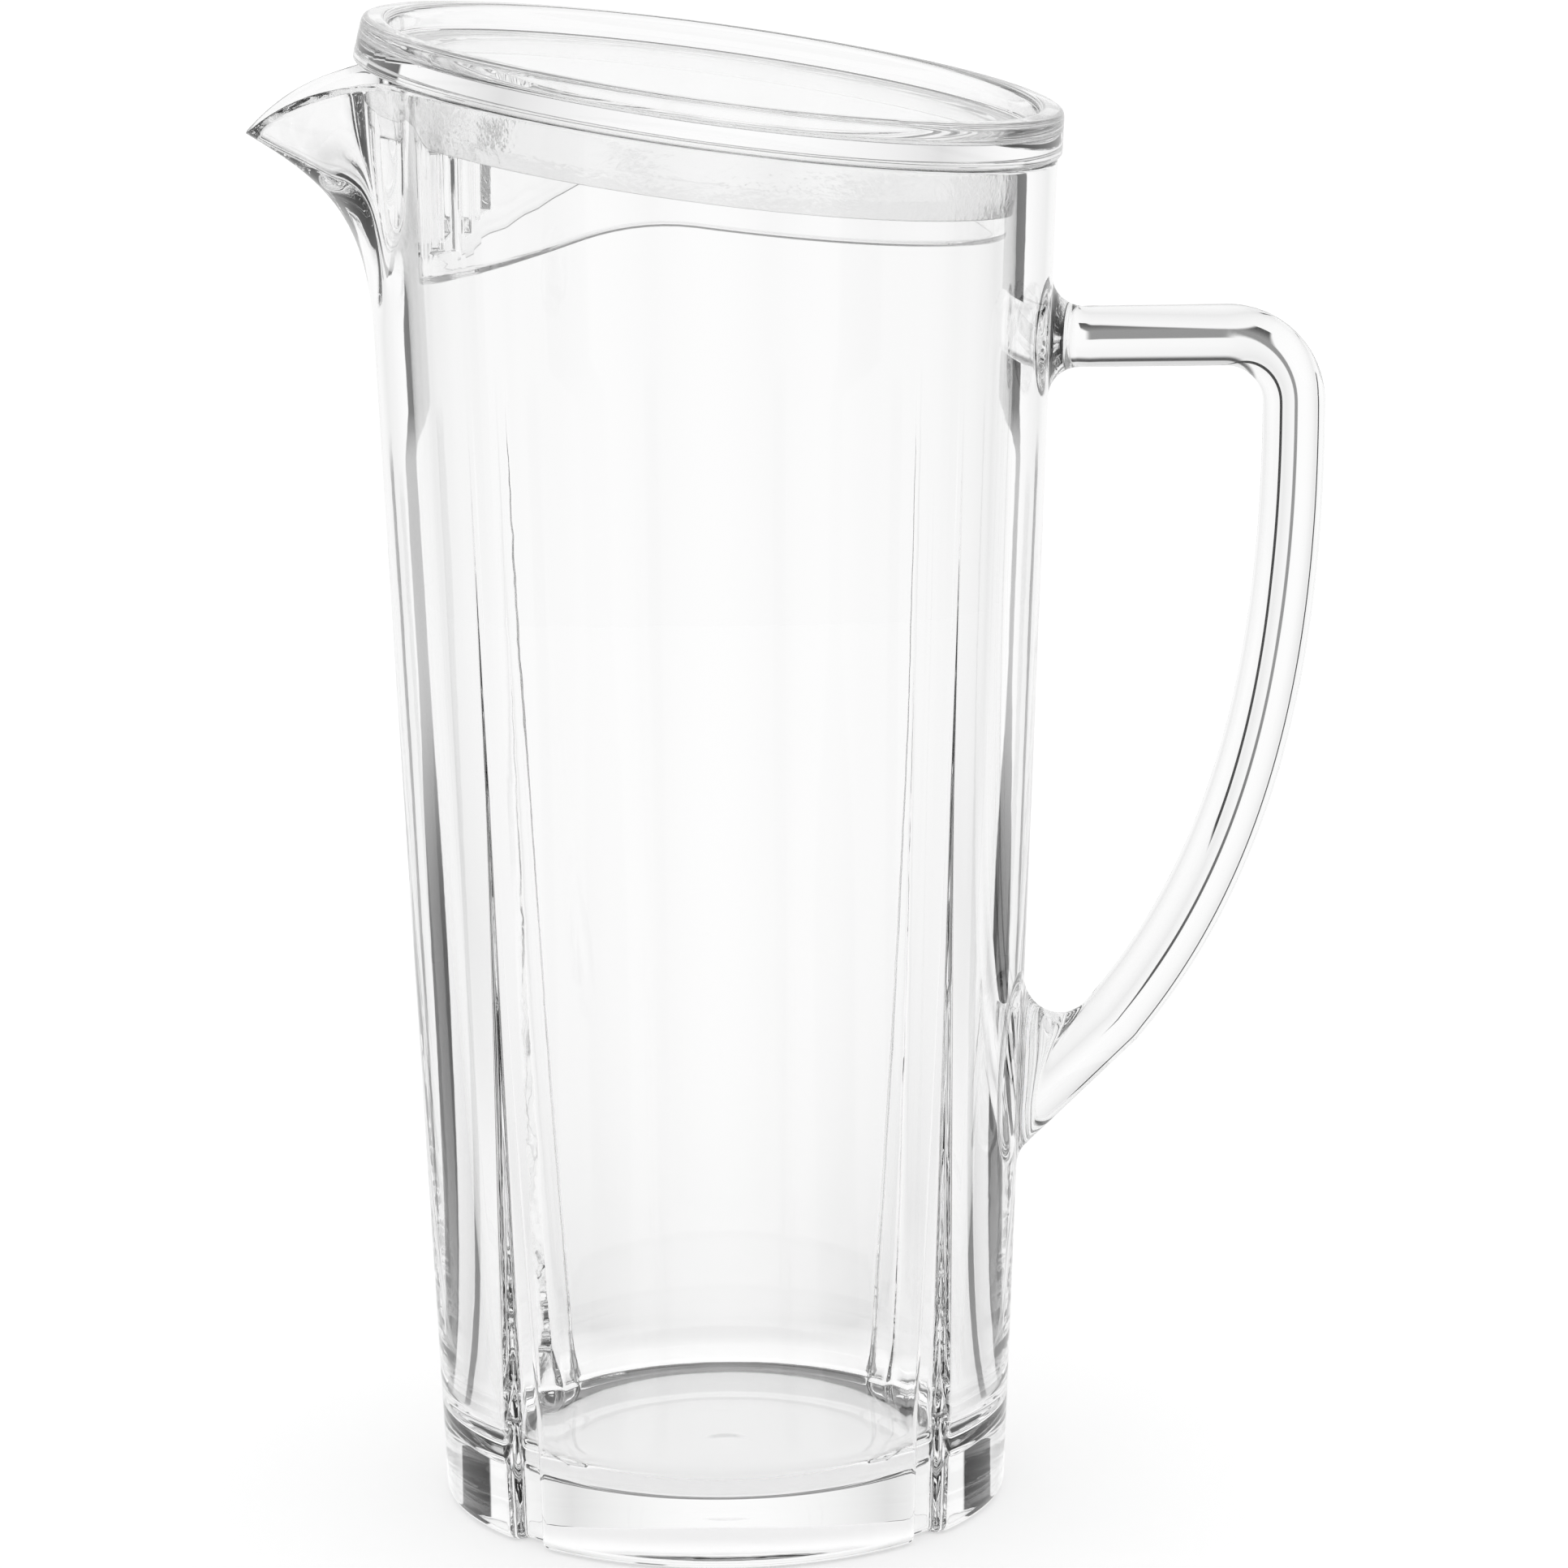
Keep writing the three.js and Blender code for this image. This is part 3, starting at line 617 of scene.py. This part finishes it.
def make_jug(material):
    skin = Skin()
    columns = Columns()
    above = columns.above
    rows = []

    for turn in np.linspace(0, math.pi / 2, CORNER_STEPS + 1):
        inset = FOOT_EDGE_RADIUS * (1 - math.sin(turn))
        rows.append(columns.wall(FOOT_EDGE_RADIUS * (1 - math.cos(turn)), inset))
    foot_ring = rows[0]
    heights = np.concatenate([
        np.linspace(FOOT_EDGE_RADIUS + 0.5, GROOVE_FULL_HEIGHT, FOOT_STEPS, endpoint=False),
        np.linspace(GROOVE_FULL_HEIGHT, ROOT_LOW, LOW_WALL_STEPS, endpoint=False),
    ])
    rows += [columns.wall(z) for z in heights]
    root_row = len(rows)
    rows += [columns.wall(z) for z in np.linspace(ROOT_LOW, ROOT_HIGH, ROOT_STEPS, endpoint=False)]
    rows += [columns.wall(z) for z in np.linspace(ROOT_HIGH, ARM_LOW, WALL_STEPS, endpoint=False)]
    arm_row = len(rows)
    rows += [columns.wall(z) for z in np.linspace(ARM_LOW, SPOUT_KEEL, ROOT_STEPS // 2, endpoint=False)]

    bore_start = SPOUT_KEEL + wall_radius(SPOUT_KEEL) - bore_radius(SPOUT_KEEL)
    outer, outer_slope = beak_side(above, wall_radius, SPOUT_KEEL, SPOUT_REACH, SPOUT_NOSE_RADIUS)
    inner, inner_slope = beak_side(
        above, bore_radius, bore_start, SPOUT_REACH - SPOUT_LIP, SPOUT_CHANNEL_NOSE_RADIUS
    )
    shares = np.linspace(0, 1, BEAK_STEPS + 1)[:-1]
    inward = unit(inner[-1] - outer[-1])
    rows += list(bezier(outer, shares))
    outer_corner = round_corner(outer[-1], -outer_slope, inward, LIP_EDGE_RADIUS)
    inner_corner = round_corner(inner[-1], -inward, -inner_slope, LIP_EDGE_RADIUS)
    rows += list(outer_corner)
    rows += [lerp(outer_corner[-1], inner_corner[0], share) for share in LIP_ROWS]
    rows += list(inner_corner)
    rows += list(bezier(inner, shares[::-1]))

    corner_top = FLOOR_THICKNESS + FLOOR_CORNER_RADIUS
    for z in np.linspace(bore_start, corner_top, BORE_STEPS + 1)[1:-1]:
        rows.append(polar(bore_radius(z), above, z))
    for turn in np.linspace(0, math.pi / 2, 2 * CORNER_STEPS + 1):
        radius = bore_radius(corner_top) - FLOOR_CORNER_RADIUS * (1 - math.cos(turn))
        rows.append(polar(radius, above, corner_top - FLOOR_CORNER_RADIUS * math.sin(turn)))
    floor_radius = bore_radius(corner_top) - FLOOR_CORNER_RADIUS
    for share in FLOOR_ROWS:
        rows.append(polar(share * floor_radius, above, FLOOR_THICKNESS))

    ids = skin.add(np.array(rows))
    beside = columns.near_handle()
    hidden = np.zeros(ids.shape, bool)
    loops = []
    for first in (arm_row, root_row):
        span = np.arange(first, first + ROOT_STEPS + 1)
        loops.append(frame_loop(ids, span, beside))
        hidden[np.ix_(span[:-1], beside[:-1])] = True
    for row in range(len(ids) - 1):
        skin.band(ids[row], ids[row + 1], ~hidden[row])
    skin.cap(ids[-1], [0, 0, FLOOR_THICKNESS])
    handle_skin(skin, *loops)

    under = [ids[0]]
    for share in UNDERSIDE_ROWS:
        radii = lerp(GATE_RADIUS, np.hypot(foot_ring[:, 0], foot_ring[:, 1]), share)
        under.append(skin.add(polar(radii, columns.angle(0), 0)))
    for share in np.linspace(1, GATE_INNER_ROW, GATE_STEPS + 1):
        depth = GATE_DEPTH * smoothstep(share, 1, GATE_FLAT_SHARE)
        under.append(skin.add(polar(GATE_RADIUS * share, columns.angle(0), depth)))
    skin.rings(under)
    skin.cap(under[-1], [0, 0, GATE_DEPTH])
    return skin.make("clear_jug", material, "jug", "jug_glass", "jug_body", "handle")


# Lid: heights are from the rim's height on the axis
def skirt_foot(x):
    """Lower edge of the skirt: level with the rim, then down to the spout past a round bend."""
    past = np.clip((-SKIRT_BEND_OFFSET + SKIRT_BEND_LENGTH - x) / (2 * SKIRT_BEND_LENGTH), 0, None)
    bend = np.where(past < 1, past ** 2 * SKIRT_BEND_LENGTH, -SKIRT_BEND_OFFSET - x)
    return rim_drop(x) - SKIRT_DEPTH - bend * SKIRT_DROP


def lid_columns():
    """Angles round the lid, and the columns of the window round each strainer slot."""
    spread = np.sin(np.linspace(-1, 1, SLOT_COLUMNS + 1) * math.pi / 2) * SLOT_WINDOW
    slots = math.pi + (np.arange(SLOT_COUNT) - (SLOT_COUNT - 1) / 2) * SLOT_PITCH
    angles = []
    windows = []
    for place, slot in enumerate(slots):
        windows.append(np.arange(len(angles), len(angles) + len(spread)))
        angles.extend(slot + spread)
        if place < SLOT_COUNT - 1:
            angles.extend(np.linspace(angles[-1], slots[place + 1] - SLOT_WINDOW, SLOT_GAP_STEPS + 1)[1:-1])
    angles.extend(np.linspace(angles[-1], angles[0] + 2 * math.pi, LID_PLAIN_STEPS + 1)[1:-1])
    return np.array(angles), slots, windows


def lid_profile():
    """Radius and height of the plate's top and the raised rim, from the middle to the seat."""
    front = rim_radius(wall_radius, math.pi)
    back = rim_radius(wall_radius, 0)
    outer = (front + back) / 2 / math.cos(RIM_TILT) + LID_OVERHANG
    top = outer - LID_RIM_DRAFT
    inner = top - LID_RIM_WIDTH
    well = inner - LID_RIM_DRAFT
    corners = np.array([
        [0, LID_PLATE_THICKNESS], [well, LID_PLATE_THICKNESS], [inner, LID_RIM_HEIGHT],
        [top, LID_RIM_HEIGHT], [outer, 0], [SKIRT_RADIUS, 0],
    ])
    points = [[share * (well - 2 * LID_EDGE_RADIUS), LID_PLATE_THICKNESS] for share in PLATE_ROWS]
    for before, corner, after in zip(corners, corners[1:], corners[2:]):
        rounded = round_corner(corner, unit(before - corner), unit(after - corner), LID_EDGE_RADIUS)
        points += [lerp(points[-1], rounded[0], 0.5), *rounded]
    return np.array(points), (back - front) / 2


def make_lid(material):
    skin = Skin()
    angles, slots, windows = lid_columns()
    profile, centre = lid_profile()
    cos_tilt = math.cos(RIM_TILT)
    sin_tilt = math.sin(RIM_TILT)

    def tilted(radius, height):
        along = radius * np.cos(angles)
        lift = height + SEAT_GAP
        x = along * cos_tilt + lift * sin_tilt + centre
        z = -along * sin_tilt + lift * cos_tilt + rim_drop(centre)
        return np.stack([x, radius * np.sin(angles), z], axis=-1)

    def under_plate(radius):
        x = radius * np.cos(angles)
        return polar(radius, angles, rim_drop(x) + SEAT_GAP / cos_tilt)

    def skirt(radius, share):
        x = radius * np.cos(angles)
        top = rim_drop(x) + SEAT_GAP / cos_tilt
        return polar(radius, angles, lerp(top, skirt_foot(x) + SKIRT_EDGE_RADIUS, share))

    inside = SKIRT_RADIUS - SKIRT_THICKNESS
    window_spread = np.sin(np.linspace(-1, 1, SLOT_ROWS + 1) * math.pi / 2)
    window_shares = lerp(*SKIRT_WINDOW, (1 + window_spread) / 2)
    skirt_shares = np.concatenate([SKIRT_TOP_ROWS, window_shares, SKIRT_FOOT_ROWS])
    window_rows = len(SKIRT_TOP_ROWS) + np.arange(len(window_shares))
    rows = [tilted(radius, height) for radius, height in profile]
    rows += [under_plate(lerp(profile[-1][0], SKIRT_RADIUS, share)) for share in SEAT_ROWS]
    outer_start = len(rows)
    rows += [skirt(SKIRT_RADIUS, share) for share in skirt_shares]
    for turn in np.linspace(0, math.pi, 2 * CORNER_STEPS + 1)[1:-1]:
        radius = (SKIRT_RADIUS + inside) / 2 + SKIRT_THICKNESS / 2 * math.cos(turn)
        foot = skirt_foot(radius * np.cos(angles)) + SKIRT_EDGE_RADIUS * (1 - math.sin(turn))
        rows.append(polar(radius, angles, foot))
    inner_start = len(rows)
    rows += [skirt(inside, share) for share in skirt_shares[::-1]]
    rows += [under_plate(inside * share) for share in UNDER_PLATE_ROWS]

    ids = skin.add(np.array(rows) + [0, 0, RIM_HEIGHT])
    hidden = np.zeros(ids.shape, bool)
    outer_rows = outer_start + window_rows
    inner_rows = inner_start + len(skirt_shares) - 1 - window_rows
    for window in windows:
        hidden[np.ix_(outer_rows[:-1], window[:-1])] = True
        hidden[np.ix_(inner_rows[1:], window[:-1])] = True
    for row in range(len(ids) - 1):
        skin.band(ids[row], ids[row + 1], ~hidden[row])
    skin.cap(ids[0], tilted(0, LID_PLATE_THICKNESS)[0] + [0, 0, RIM_HEIGHT])
    skin.cap(ids[-1], [0, 0, RIM_HEIGHT + SEAT_GAP / cos_tilt])
    for slot, window in zip(slots, windows):
        outer_loop = frame_loop(ids, outer_rows, window)
        inner_loop = frame_loop(ids, inner_rows, window)
        cut_slot(skin, slot, outer_loop, inner_loop)
    return skin.make("clear_lid", material, "lid", "lid_clear", "lid")


def cut_slot(skin, slot, outer_loop, inner_loop):
    """The walls of one strainer slot, between its windows in the skirt's two faces."""
    x = SKIRT_RADIUS * math.cos(slot)
    head = RIM_HEIGHT + rim_drop(x) - SLOT_HEAD_DEPTH
    sill = RIM_HEIGHT + skirt_foot(x) + SLOT_SILL
    inside = SKIRT_RADIUS - SKIRT_THICKNESS
    edge = np.array(skin.points)[outer_loop]
    turn = np.arctan2(edge[:, 1], edge[:, 0]) - slot
    turn = (turn + math.pi) % (2 * math.pi) - math.pi
    across = turn / SLOT_WINDOW
    upright = 2 * (edge[:, 2] - edge[:, 2].min()) / np.ptp(edge[:, 2]) - 1

    def outline(grow, radius):
        half = np.array([SLOT_WIDTH / 2 + grow, (head - sill) / 2 + grow])
        corner = SLOT_CORNER_RADIUS + grow
        place = np.stack([np.clip(across, -1, 1), np.clip(upright, -1, 1)], axis=-1) * half
        core = np.clip(place, corner - half, half - corner)
        off = place - core
        length = np.linalg.norm(off, axis=-1, keepdims=True)
        place = core + off * np.minimum(1, corner / np.maximum(length, corner / 2))
        return polar(radius, slot + np.arcsin(place[:, 0] / radius), place[:, 1] + (head + sill) / 2)

    rings = []
    turns = np.linspace(0, math.pi / 2, SLOT_EDGE_STEPS + 1)
    for turn in turns:
        grow = SLOT_EDGE_RADIUS * (1 - math.sin(turn))
        rings.append(outline(grow, SKIRT_RADIUS - SLOT_EDGE_RADIUS * (1 - math.cos(turn))))
    for turn in turns[::-1]:
        grow = SLOT_EDGE_RADIUS * (1 - math.sin(turn))
        rings.append(outline(grow, inside + SLOT_EDGE_RADIUS * (1 - math.cos(turn))))
    skin.rings([outer_loop, *[skin.add(ring) for ring in rings], inner_loop])


def make_seal(material):
    skin = Skin()
    angles = np.linspace(0, 2 * math.pi, SEAL_STEPS, endpoint=False)
    inside = SKIRT_RADIUS + SEAT_GAP
    from_spout = np.abs(angles - math.pi)
    notch = SEAL_NOTCH * (1 - smoothstep(from_spout, SEAL_NOTCH_HALF - SEAL_NOTCH_ARCH, SEAL_NOTCH_HALF))
    top = RIM_HEIGHT + rim_drop(inside * np.cos(angles))
    foot = top - SEAL_HEIGHT + notch
    lip = foot + SEAL_LIP_HEIGHT

    def outside(z, gap):
        return bore_radius(z) - gap

    corners = [
        polar(inside, angles, top),
        polar(outside(top, SEAT_GAP), angles, top),
        polar(outside(lip, SEAT_GAP), angles, lip),
        polar(outside(foot, SEAT_GAP + SEAL_LIP_DRAW), angles, foot),
        polar(inside, angles, foot),
    ]
    rows = []
    for place, corner in enumerate(corners):
        before = unit(corners[place - 1] - corner)
        after = unit(corners[(place + 1) % len(corners)] - corner)
        rows += list(round_corner(corner, before, after, SEAL_EDGE_RADIUS, SEAL_EDGE_STEPS))
    ids = skin.add(np.array(rows))
    skin.rings([*ids, ids[0]])
    return skin.make("milky_seal", material, "lid", "seal_silicone", "seal_ring")


# Materials
class Wire:
    """An output of a node. Arithmetic on it adds Math nodes."""

    def __init__(self, finish, socket):
        self.finish = finish
        self.socket = socket

    def __add__(self, other):
        return self.finish.math("ADD", self, other)

    def __mul__(self, other):
        return self.finish.math("MULTIPLY", self, other)

    def __sub__(self, other):
        return self.finish.math("SUBTRACT", self, other)

    def __rsub__(self, other):
        return self.finish.math("SUBTRACT", other, self)

    def __abs__(self):
        return self.finish.math("ABSOLUTE", self)

    __radd__ = __add__
    __rmul__ = __mul__


class Finish:
    """The nodes of a material or of the world."""

    def __init__(self, owner):
        owner.use_nodes = True
        self.owner = owner
        self.tree = owner.node_tree
        self.tree.nodes.clear()

    def node(self, kind, settings=None, sockets=None, output=0):
        """Adds a node: first its settings, then the values or links of its sockets."""
        made = self.tree.nodes.new(kind)
        for name, value in (settings or {}).items():
            setattr(made, name, value)
        for name, value in (sockets or {}).items():
            if isinstance(value, Wire):
                self.tree.links.new(value.socket, made.inputs[name])
            else:
                made.inputs[name].default_value = value
        return Wire(self, made.outputs[output]) if made.outputs else None

    def math(self, operation, *values):
        return self.node("ShaderNodeMath", {"operation": operation}, dict(enumerate(values)))

    def place(self):
        return self.node("ShaderNodeTexCoord", output="Object")

    def axes(self):
        """How far along each axis the place is."""
        return [self.node("ShaderNodeSeparateXYZ", {}, {"Vector": self.place()}, axis) for axis in "XYZ"]

    def away(self):
        """How far from the middle of the foot the place is."""
        return self.node("ShaderNodeVectorMath", {"operation": "LENGTH"}, {0: self.place()}, "Value")

    def noise(self, scale, detail=2):
        sockets = {"Vector": self.place(), "Scale": scale, "Detail": detail}
        return self.node("ShaderNodeTexNoise", {}, sockets)

    def ramp(self, value, low, high):
        """Zero up to low, one from high on, and smooth between them."""
        sockets = {"Value": value, "From Min": low, "From Max": high}
        return self.node("ShaderNodeMapRange", {"interpolation_type": "SMOOTHSTEP"}, sockets)

    def past(self, value, edge):
        """Zero up to the edge, and one soon after it."""
        return self.ramp(value, edge, edge + SOFT_EDGE)

    def path(self, output):
        return self.node("ShaderNodeLightPath", output=output)

    def seen(self):
        """One for what the camera, a reflection or the clear pieces show of the studio, else zero."""
        shown = self.path("Is Camera Ray")
        for kind in ("Is Glossy Ray", "Is Transmission Ray"):
            shown = self.math("MAXIMUM", shown, self.path(kind))
        return shown

    def surface(self, shader, kind="ShaderNodeOutputMaterial"):
        self.node(kind, {}, {"Surface": shader})
        return self.owner


def mould_waves(finish):
    return finish.noise(WAVE_SCALE) + finish.noise(WAVELET_SCALE) * WAVELET_SHARE


def groove_ripples(finish):
    """Ripples where the glass set last: above the foot, and most of all in the grooves."""
    x, y, z = finish.axes()
    sunk = z * WALL_SLOPE + FOOT_RADIUS * MM - finish.math("SQRT", x * x + y * y)
    groove = finish.ramp(sunk, *RIPPLE_EDGE) * (1 - finish.ramp(sunk, *RIPPLE_FLOOR))
    set_last = (1 - finish.ramp(z, RIPPLE_FULL, RIPPLE_END)) * (groove + RIPPLE_PLAIN)
    stretched = {0: finish.place(), 1: RIPPLE_SCALE}
    flat = finish.node("ShaderNodeVectorMath", {"operation": "MULTIPLY"}, stretched)
    ripples = finish.node("ShaderNodeTexNoise", {}, {"Vector": flat, "Scale": 1, "Detail": 1})
    return ripples * set_last * RIPPLE_HEIGHT


def clear_finish(finish, index, wave, relief):
    """Polished clear moulding: a faint relief from its mould, and handling marks that dull it a little."""
    bump = finish.node("ShaderNodeBump", {}, {"Strength": 1, "Distance": wave, "Height": relief})
    principled = finish.node("ShaderNodeBsdfPrincipled", {}, {
        "Base Color": CLEAR_TINT,
        "Roughness": finish.noise(MARK_SCALE, MARK_DETAIL) * MARK_ROUGHNESS,
        "IOR": index,
        "Transmission Weight": 1,
        "Normal": bump,
    })
    return finish.surface(principled)


def jug_finish():
    finish = Finish(bpy.data.materials.new("clear_jug_glass"))
    return clear_finish(finish, GLASS_INDEX, GLASS_WAVE, mould_waves(finish) + groove_ripples(finish))


def lid_finish():
    finish = Finish(bpy.data.materials.new("clear_lid_plastic"))
    return clear_finish(finish, LID_INDEX, LID_WAVE, mould_waves(finish))


def seal_finish():
    """Milky silicone, a little cloudy, with a fine satin grain."""
    finish = Finish(bpy.data.materials.new("milky_silicone"))
    cloud = finish.noise(SEAL_CLOUD_SCALE, SEAL_CLOUD_DETAIL)
    bump = finish.node("ShaderNodeBump", {}, {
        "Strength": SEAL_GRAIN_STRENGTH,
        "Distance": SEAL_GRAIN_HEIGHT,
        "Height": finish.noise(SEAL_GRAIN_SCALE),
    })
    principled = finish.node("ShaderNodeBsdfPrincipled", {}, {
        "Base Color": CLEAR_TINT,
        "Roughness": SEAL_ROUGHNESS + cloud * SEAL_CLOUD_ROUGHNESS,
        "IOR": SEAL_INDEX,
        "Transmission Weight": SEAL_CLEARNESS,
        "Normal": bump,
    })
    return finish.surface(principled)


# Studio: a white floor inside a round light tent, whose dark marks draw the lines in the clear pieces
class TentMarks:
    """Brightness of the tent, and of the floor in it, to light that came through the clear pieces. Plain
    light went straight through one piece, and guided light was reflected inside it."""

    def __init__(self, finish):
        self.finish = finish
        self.x, self.y, self.z = finish.axes()
        self.away = finish.away()
        self.turn = finish.math("ARCTAN2", self.x, self.y)
        self.aside = finish.math("ARCTAN2", self.x, abs(self.y))
        self.above = finish.past(self.z, RIB_TOP)
        self.straight = finish.math("LESS_THAN", finish.path("Glossy Depth"), STRAIGHT_LIMIT)
        single = finish.math("LESS_THAN", finish.path("Transmission Depth"), SINGLE_LIMIT)
        behind = finish.ramp(self.y, -FRONT_REACH, FRONT_REACH)
        self.plain = single * self.straight
        self.guided = single * (1 - self.straight) * (FRONT_MARKS + behind * (1 - FRONT_MARKS))

    def panels(self):
        """Painted shade: the cloth's glow darkens towards its dark ribs, as shade on a sagging cloth."""
        half_pitch = math.pi / TENT_RIBS
        near = self.finish.math("PINGPONG", self.turn, half_pitch) * (1 / half_pitch)
        painted_shade = near * near * (TENT_PAINTED_SHADE_INSIDE - self.straight * (TENT_PAINTED_SHADE_INSIDE - TENT_PAINTED_SHADE))
        rib = self.finish.ramp(near, 1 - RIB_SHARE, 1 - RIB_SHARE * RIB_SHARP)
        close = 1 - self.finish.past(self.away, RIB_REACH)
        return (1 - painted_shade) * (1 - rib * (self.plain * close + self.guided * (1 - self.above)))

    def masts(self):
        """A slim mast on each side, which draws a line along the grip."""
        off = abs(abs(self.aside) - MAST_PLACE)
        slim = 1 - self.finish.ramp(off, MAST_HALF, MAST_HALF + SOFT_EDGE / 2)
        return 1 - self.plain * self.finish.past(self.away, MAST_START) * slim

    def flag(self):
        """A low flag on the handle's side, which draws the band along its arm."""
        right_end = self.finish.past(self.aside, FLAG_RIGHT - SOFT_EDGE)
        wide = self.finish.past(self.aside, FLAG_LEFT) * (1 - right_end)
        beyond = self.finish.past(self.away, FLAG_START) * (1 - self.finish.past(self.z, FLAG_TOP))
        fade = 1 - self.finish.ramp(self.away, FLAG_START, FLAG_END) * FLAG_FADE
        return 1 - self.plain * wide * beyond * fade * FLAG_SHADE

    def cards(self):
        """Cards that run along the floor and up the tent, which draw the wall's streaks and the patches in
        the foot. Along the floor they get slimmer, less so on the spout's side."""
        across = self.finish.math("PINGPONG", self.turn, math.pi / 2)
        off = abs(across - CARD_PLACE_ON_FLOOR - self.above * (CARD_PLACE - CARD_PLACE_ON_FLOOR))
        distant = self.finish.ramp(self.away, CARD_NEAR, CARD_FAR) * (1 - self.above)
        left = 1 - self.finish.ramp(self.x, -SOFT_EDGE, SOFT_EDGE)
        wider = (1 - distant) * CARD_NEAR_WIDER + distant * left * CARD_LEFT_WIDER
        wide = 1 - self.finish.past(off - wider, CARD_HALF)
        low = 1 - self.finish.past(self.z, CARD_TOP - SOFT_EDGE)
        return 1 - wide * low * self.guided * (1 - distant * CARD_FADE)

    def ceiling(self):
        """A dark ceiling, which draws the floor's edge and the lid's lines."""
        paler = CEILING_PALER + self.plain * (CEILING_PALER_TO_RODS - CEILING_PALER)
        middle = self.finish.ramp(self.z, CEILING_MIDDLE, CEILING_MIDDLE + 2 * SOFT_EDGE)
        dark = self.finish.ramp(self.z, CEILING_START, CEILING_FULL) * CEILING_SHADE
        return 1 - dark * (1 - middle * paler)

    def tone(self):
        marked = 1 - self.panels() * self.masts() * self.flag() * self.cards()
        return (1 - self.finish.ramp(self.away, MARKS_START, MARKS_FULL) * marked) * self.ceiling()


def floor_finish():
    """White to the camera, apart from the shadow, and with the tent's tones to what looks through glass."""
    finish = Finish(bpy.data.materials.new("white_floor"))
    camera = finish.path("Is Camera Ray")
    under = 1 - finish.ramp(finish.away(), FOOT_RADIUS * MM, FOOT_GLOW_REACH * MM)
    glow = camera * FLOOR_GLOW + finish.seen() * (1 - camera) * (FLOOR_GLASS_GLOW + under * FOOT_GLOW)
    diffuse = finish.node("ShaderNodeBsdfDiffuse", {}, {"Color": FLOOR_COLOUR})
    lit = finish.node("ShaderNodeEmission", {}, {"Color": glow})
    white = finish.node("ShaderNodeAddShader", {}, {0: diffuse, 1: lit})
    dark = finish.node("ShaderNodeEmission", {}, {"Strength": 0})
    shade = (1 - TentMarks(finish).tone()) * finish.path("Is Transmission Ray")
    return finish.surface(finish.node("ShaderNodeMixShader", {}, {0: shade, 1: white, 2: dark}))


def tent_finish():
    finish = Finish(bpy.data.materials.new("white_tent"))
    tone = 1 - (1 - TentMarks(finish).tone()) * finish.path("Is Transmission Ray")
    return finish.surface(finish.node("ShaderNodeEmission", {}, {"Color": tone, "Strength": TENT_GLOW}))


def stage_mesh(name, corners, faces, material):
    mesh = bpy.data.meshes.new(name)
    mesh.from_pydata(corners, [], faces)
    mesh.materials.append(material)
    made = bpy.data.objects.new(name, mesh)
    bpy.context.scene.collection.objects.link(made)
    return made


def make_floor():
    sides = ((-1, -1), (1, -1), (1, 1), (-1, 1))
    corners = [(x * FLOOR_REACH, y * FLOOR_REACH, -FLOOR_GAP) for x, y in sides]
    stage_mesh("floor", corners, [(0, 1, 2, 3)], floor_finish())


def make_tent():
    """A dome that only reflections and clear pieces show."""
    turns = np.linspace(0, 2 * math.pi, TENT_SIDES, endpoint=False)
    rises = np.linspace(0, math.pi / 2, TENT_RISES, endpoint=False)
    corners = [polar(TENT_RADIUS * math.cos(rise), turns, TENT_RADIUS * math.sin(rise)) for rise in rises]
    ids = np.arange(len(turns) * len(rises)).reshape(len(rises), len(turns))
    faces = []
    for low, high in zip(ids, ids[1:]):
        faces += [tuple(map(int, face)) for face in zip(low, np.roll(low, -1), np.roll(high, -1), high)]
    faces.append(tuple(map(int, ids[-1])))
    tent = stage_mesh("tent", np.concatenate(corners), faces, tent_finish())
    tent.visible_camera = False
    tent.visible_diffuse = False
    tent.visible_shadow = False


def make_room():
    scene = bpy.context.scene
    scene.view_settings.view_transform = "Standard"
    scene.world = bpy.data.worlds.new("white_room")
    finish = Finish(scene.world)
    light = ROOM_LIGHT + finish.seen() * (1 - ROOM_LIGHT)
    background = finish.node("ShaderNodeBackground", {}, {"Color": light, "Strength": 1})
    finish.surface(background, "ShaderNodeOutputWorld")
    scene.cycles.max_bounces = BOUNCES
    scene.cycles.transmission_bounces = BOUNCES
    scene.cycles.glossy_bounces = INSIDE_BOUNCES


def make_camera():
    lens = bpy.data.cameras.new("camera")
    lens.lens = FOCAL_PIXELS / PHOTO_SIZE * SENSOR_WIDTH
    lens.sensor_width = SENSOR_WIDTH
    camera = bpy.data.objects.new("camera", lens)
    bpy.context.scene.collection.objects.link(camera)
    turn = Matrix.Rotation(-CAMERA_YAW, 4, "Z") @ Matrix.Rotation(math.pi / 2 - CAMERA_PITCH, 4, "X")
    camera.matrix_world = Matrix.Translation(CAMERA_PLACE) @ turn @ Matrix.Rotation(CAMERA_ROLL, 4, "Z")
    bpy.context.scene.camera = camera


make_camera()
make_room()
make_floor()
make_tent()
make_jug(jug_finish())
make_lid(lid_finish())
make_seal(seal_finish())
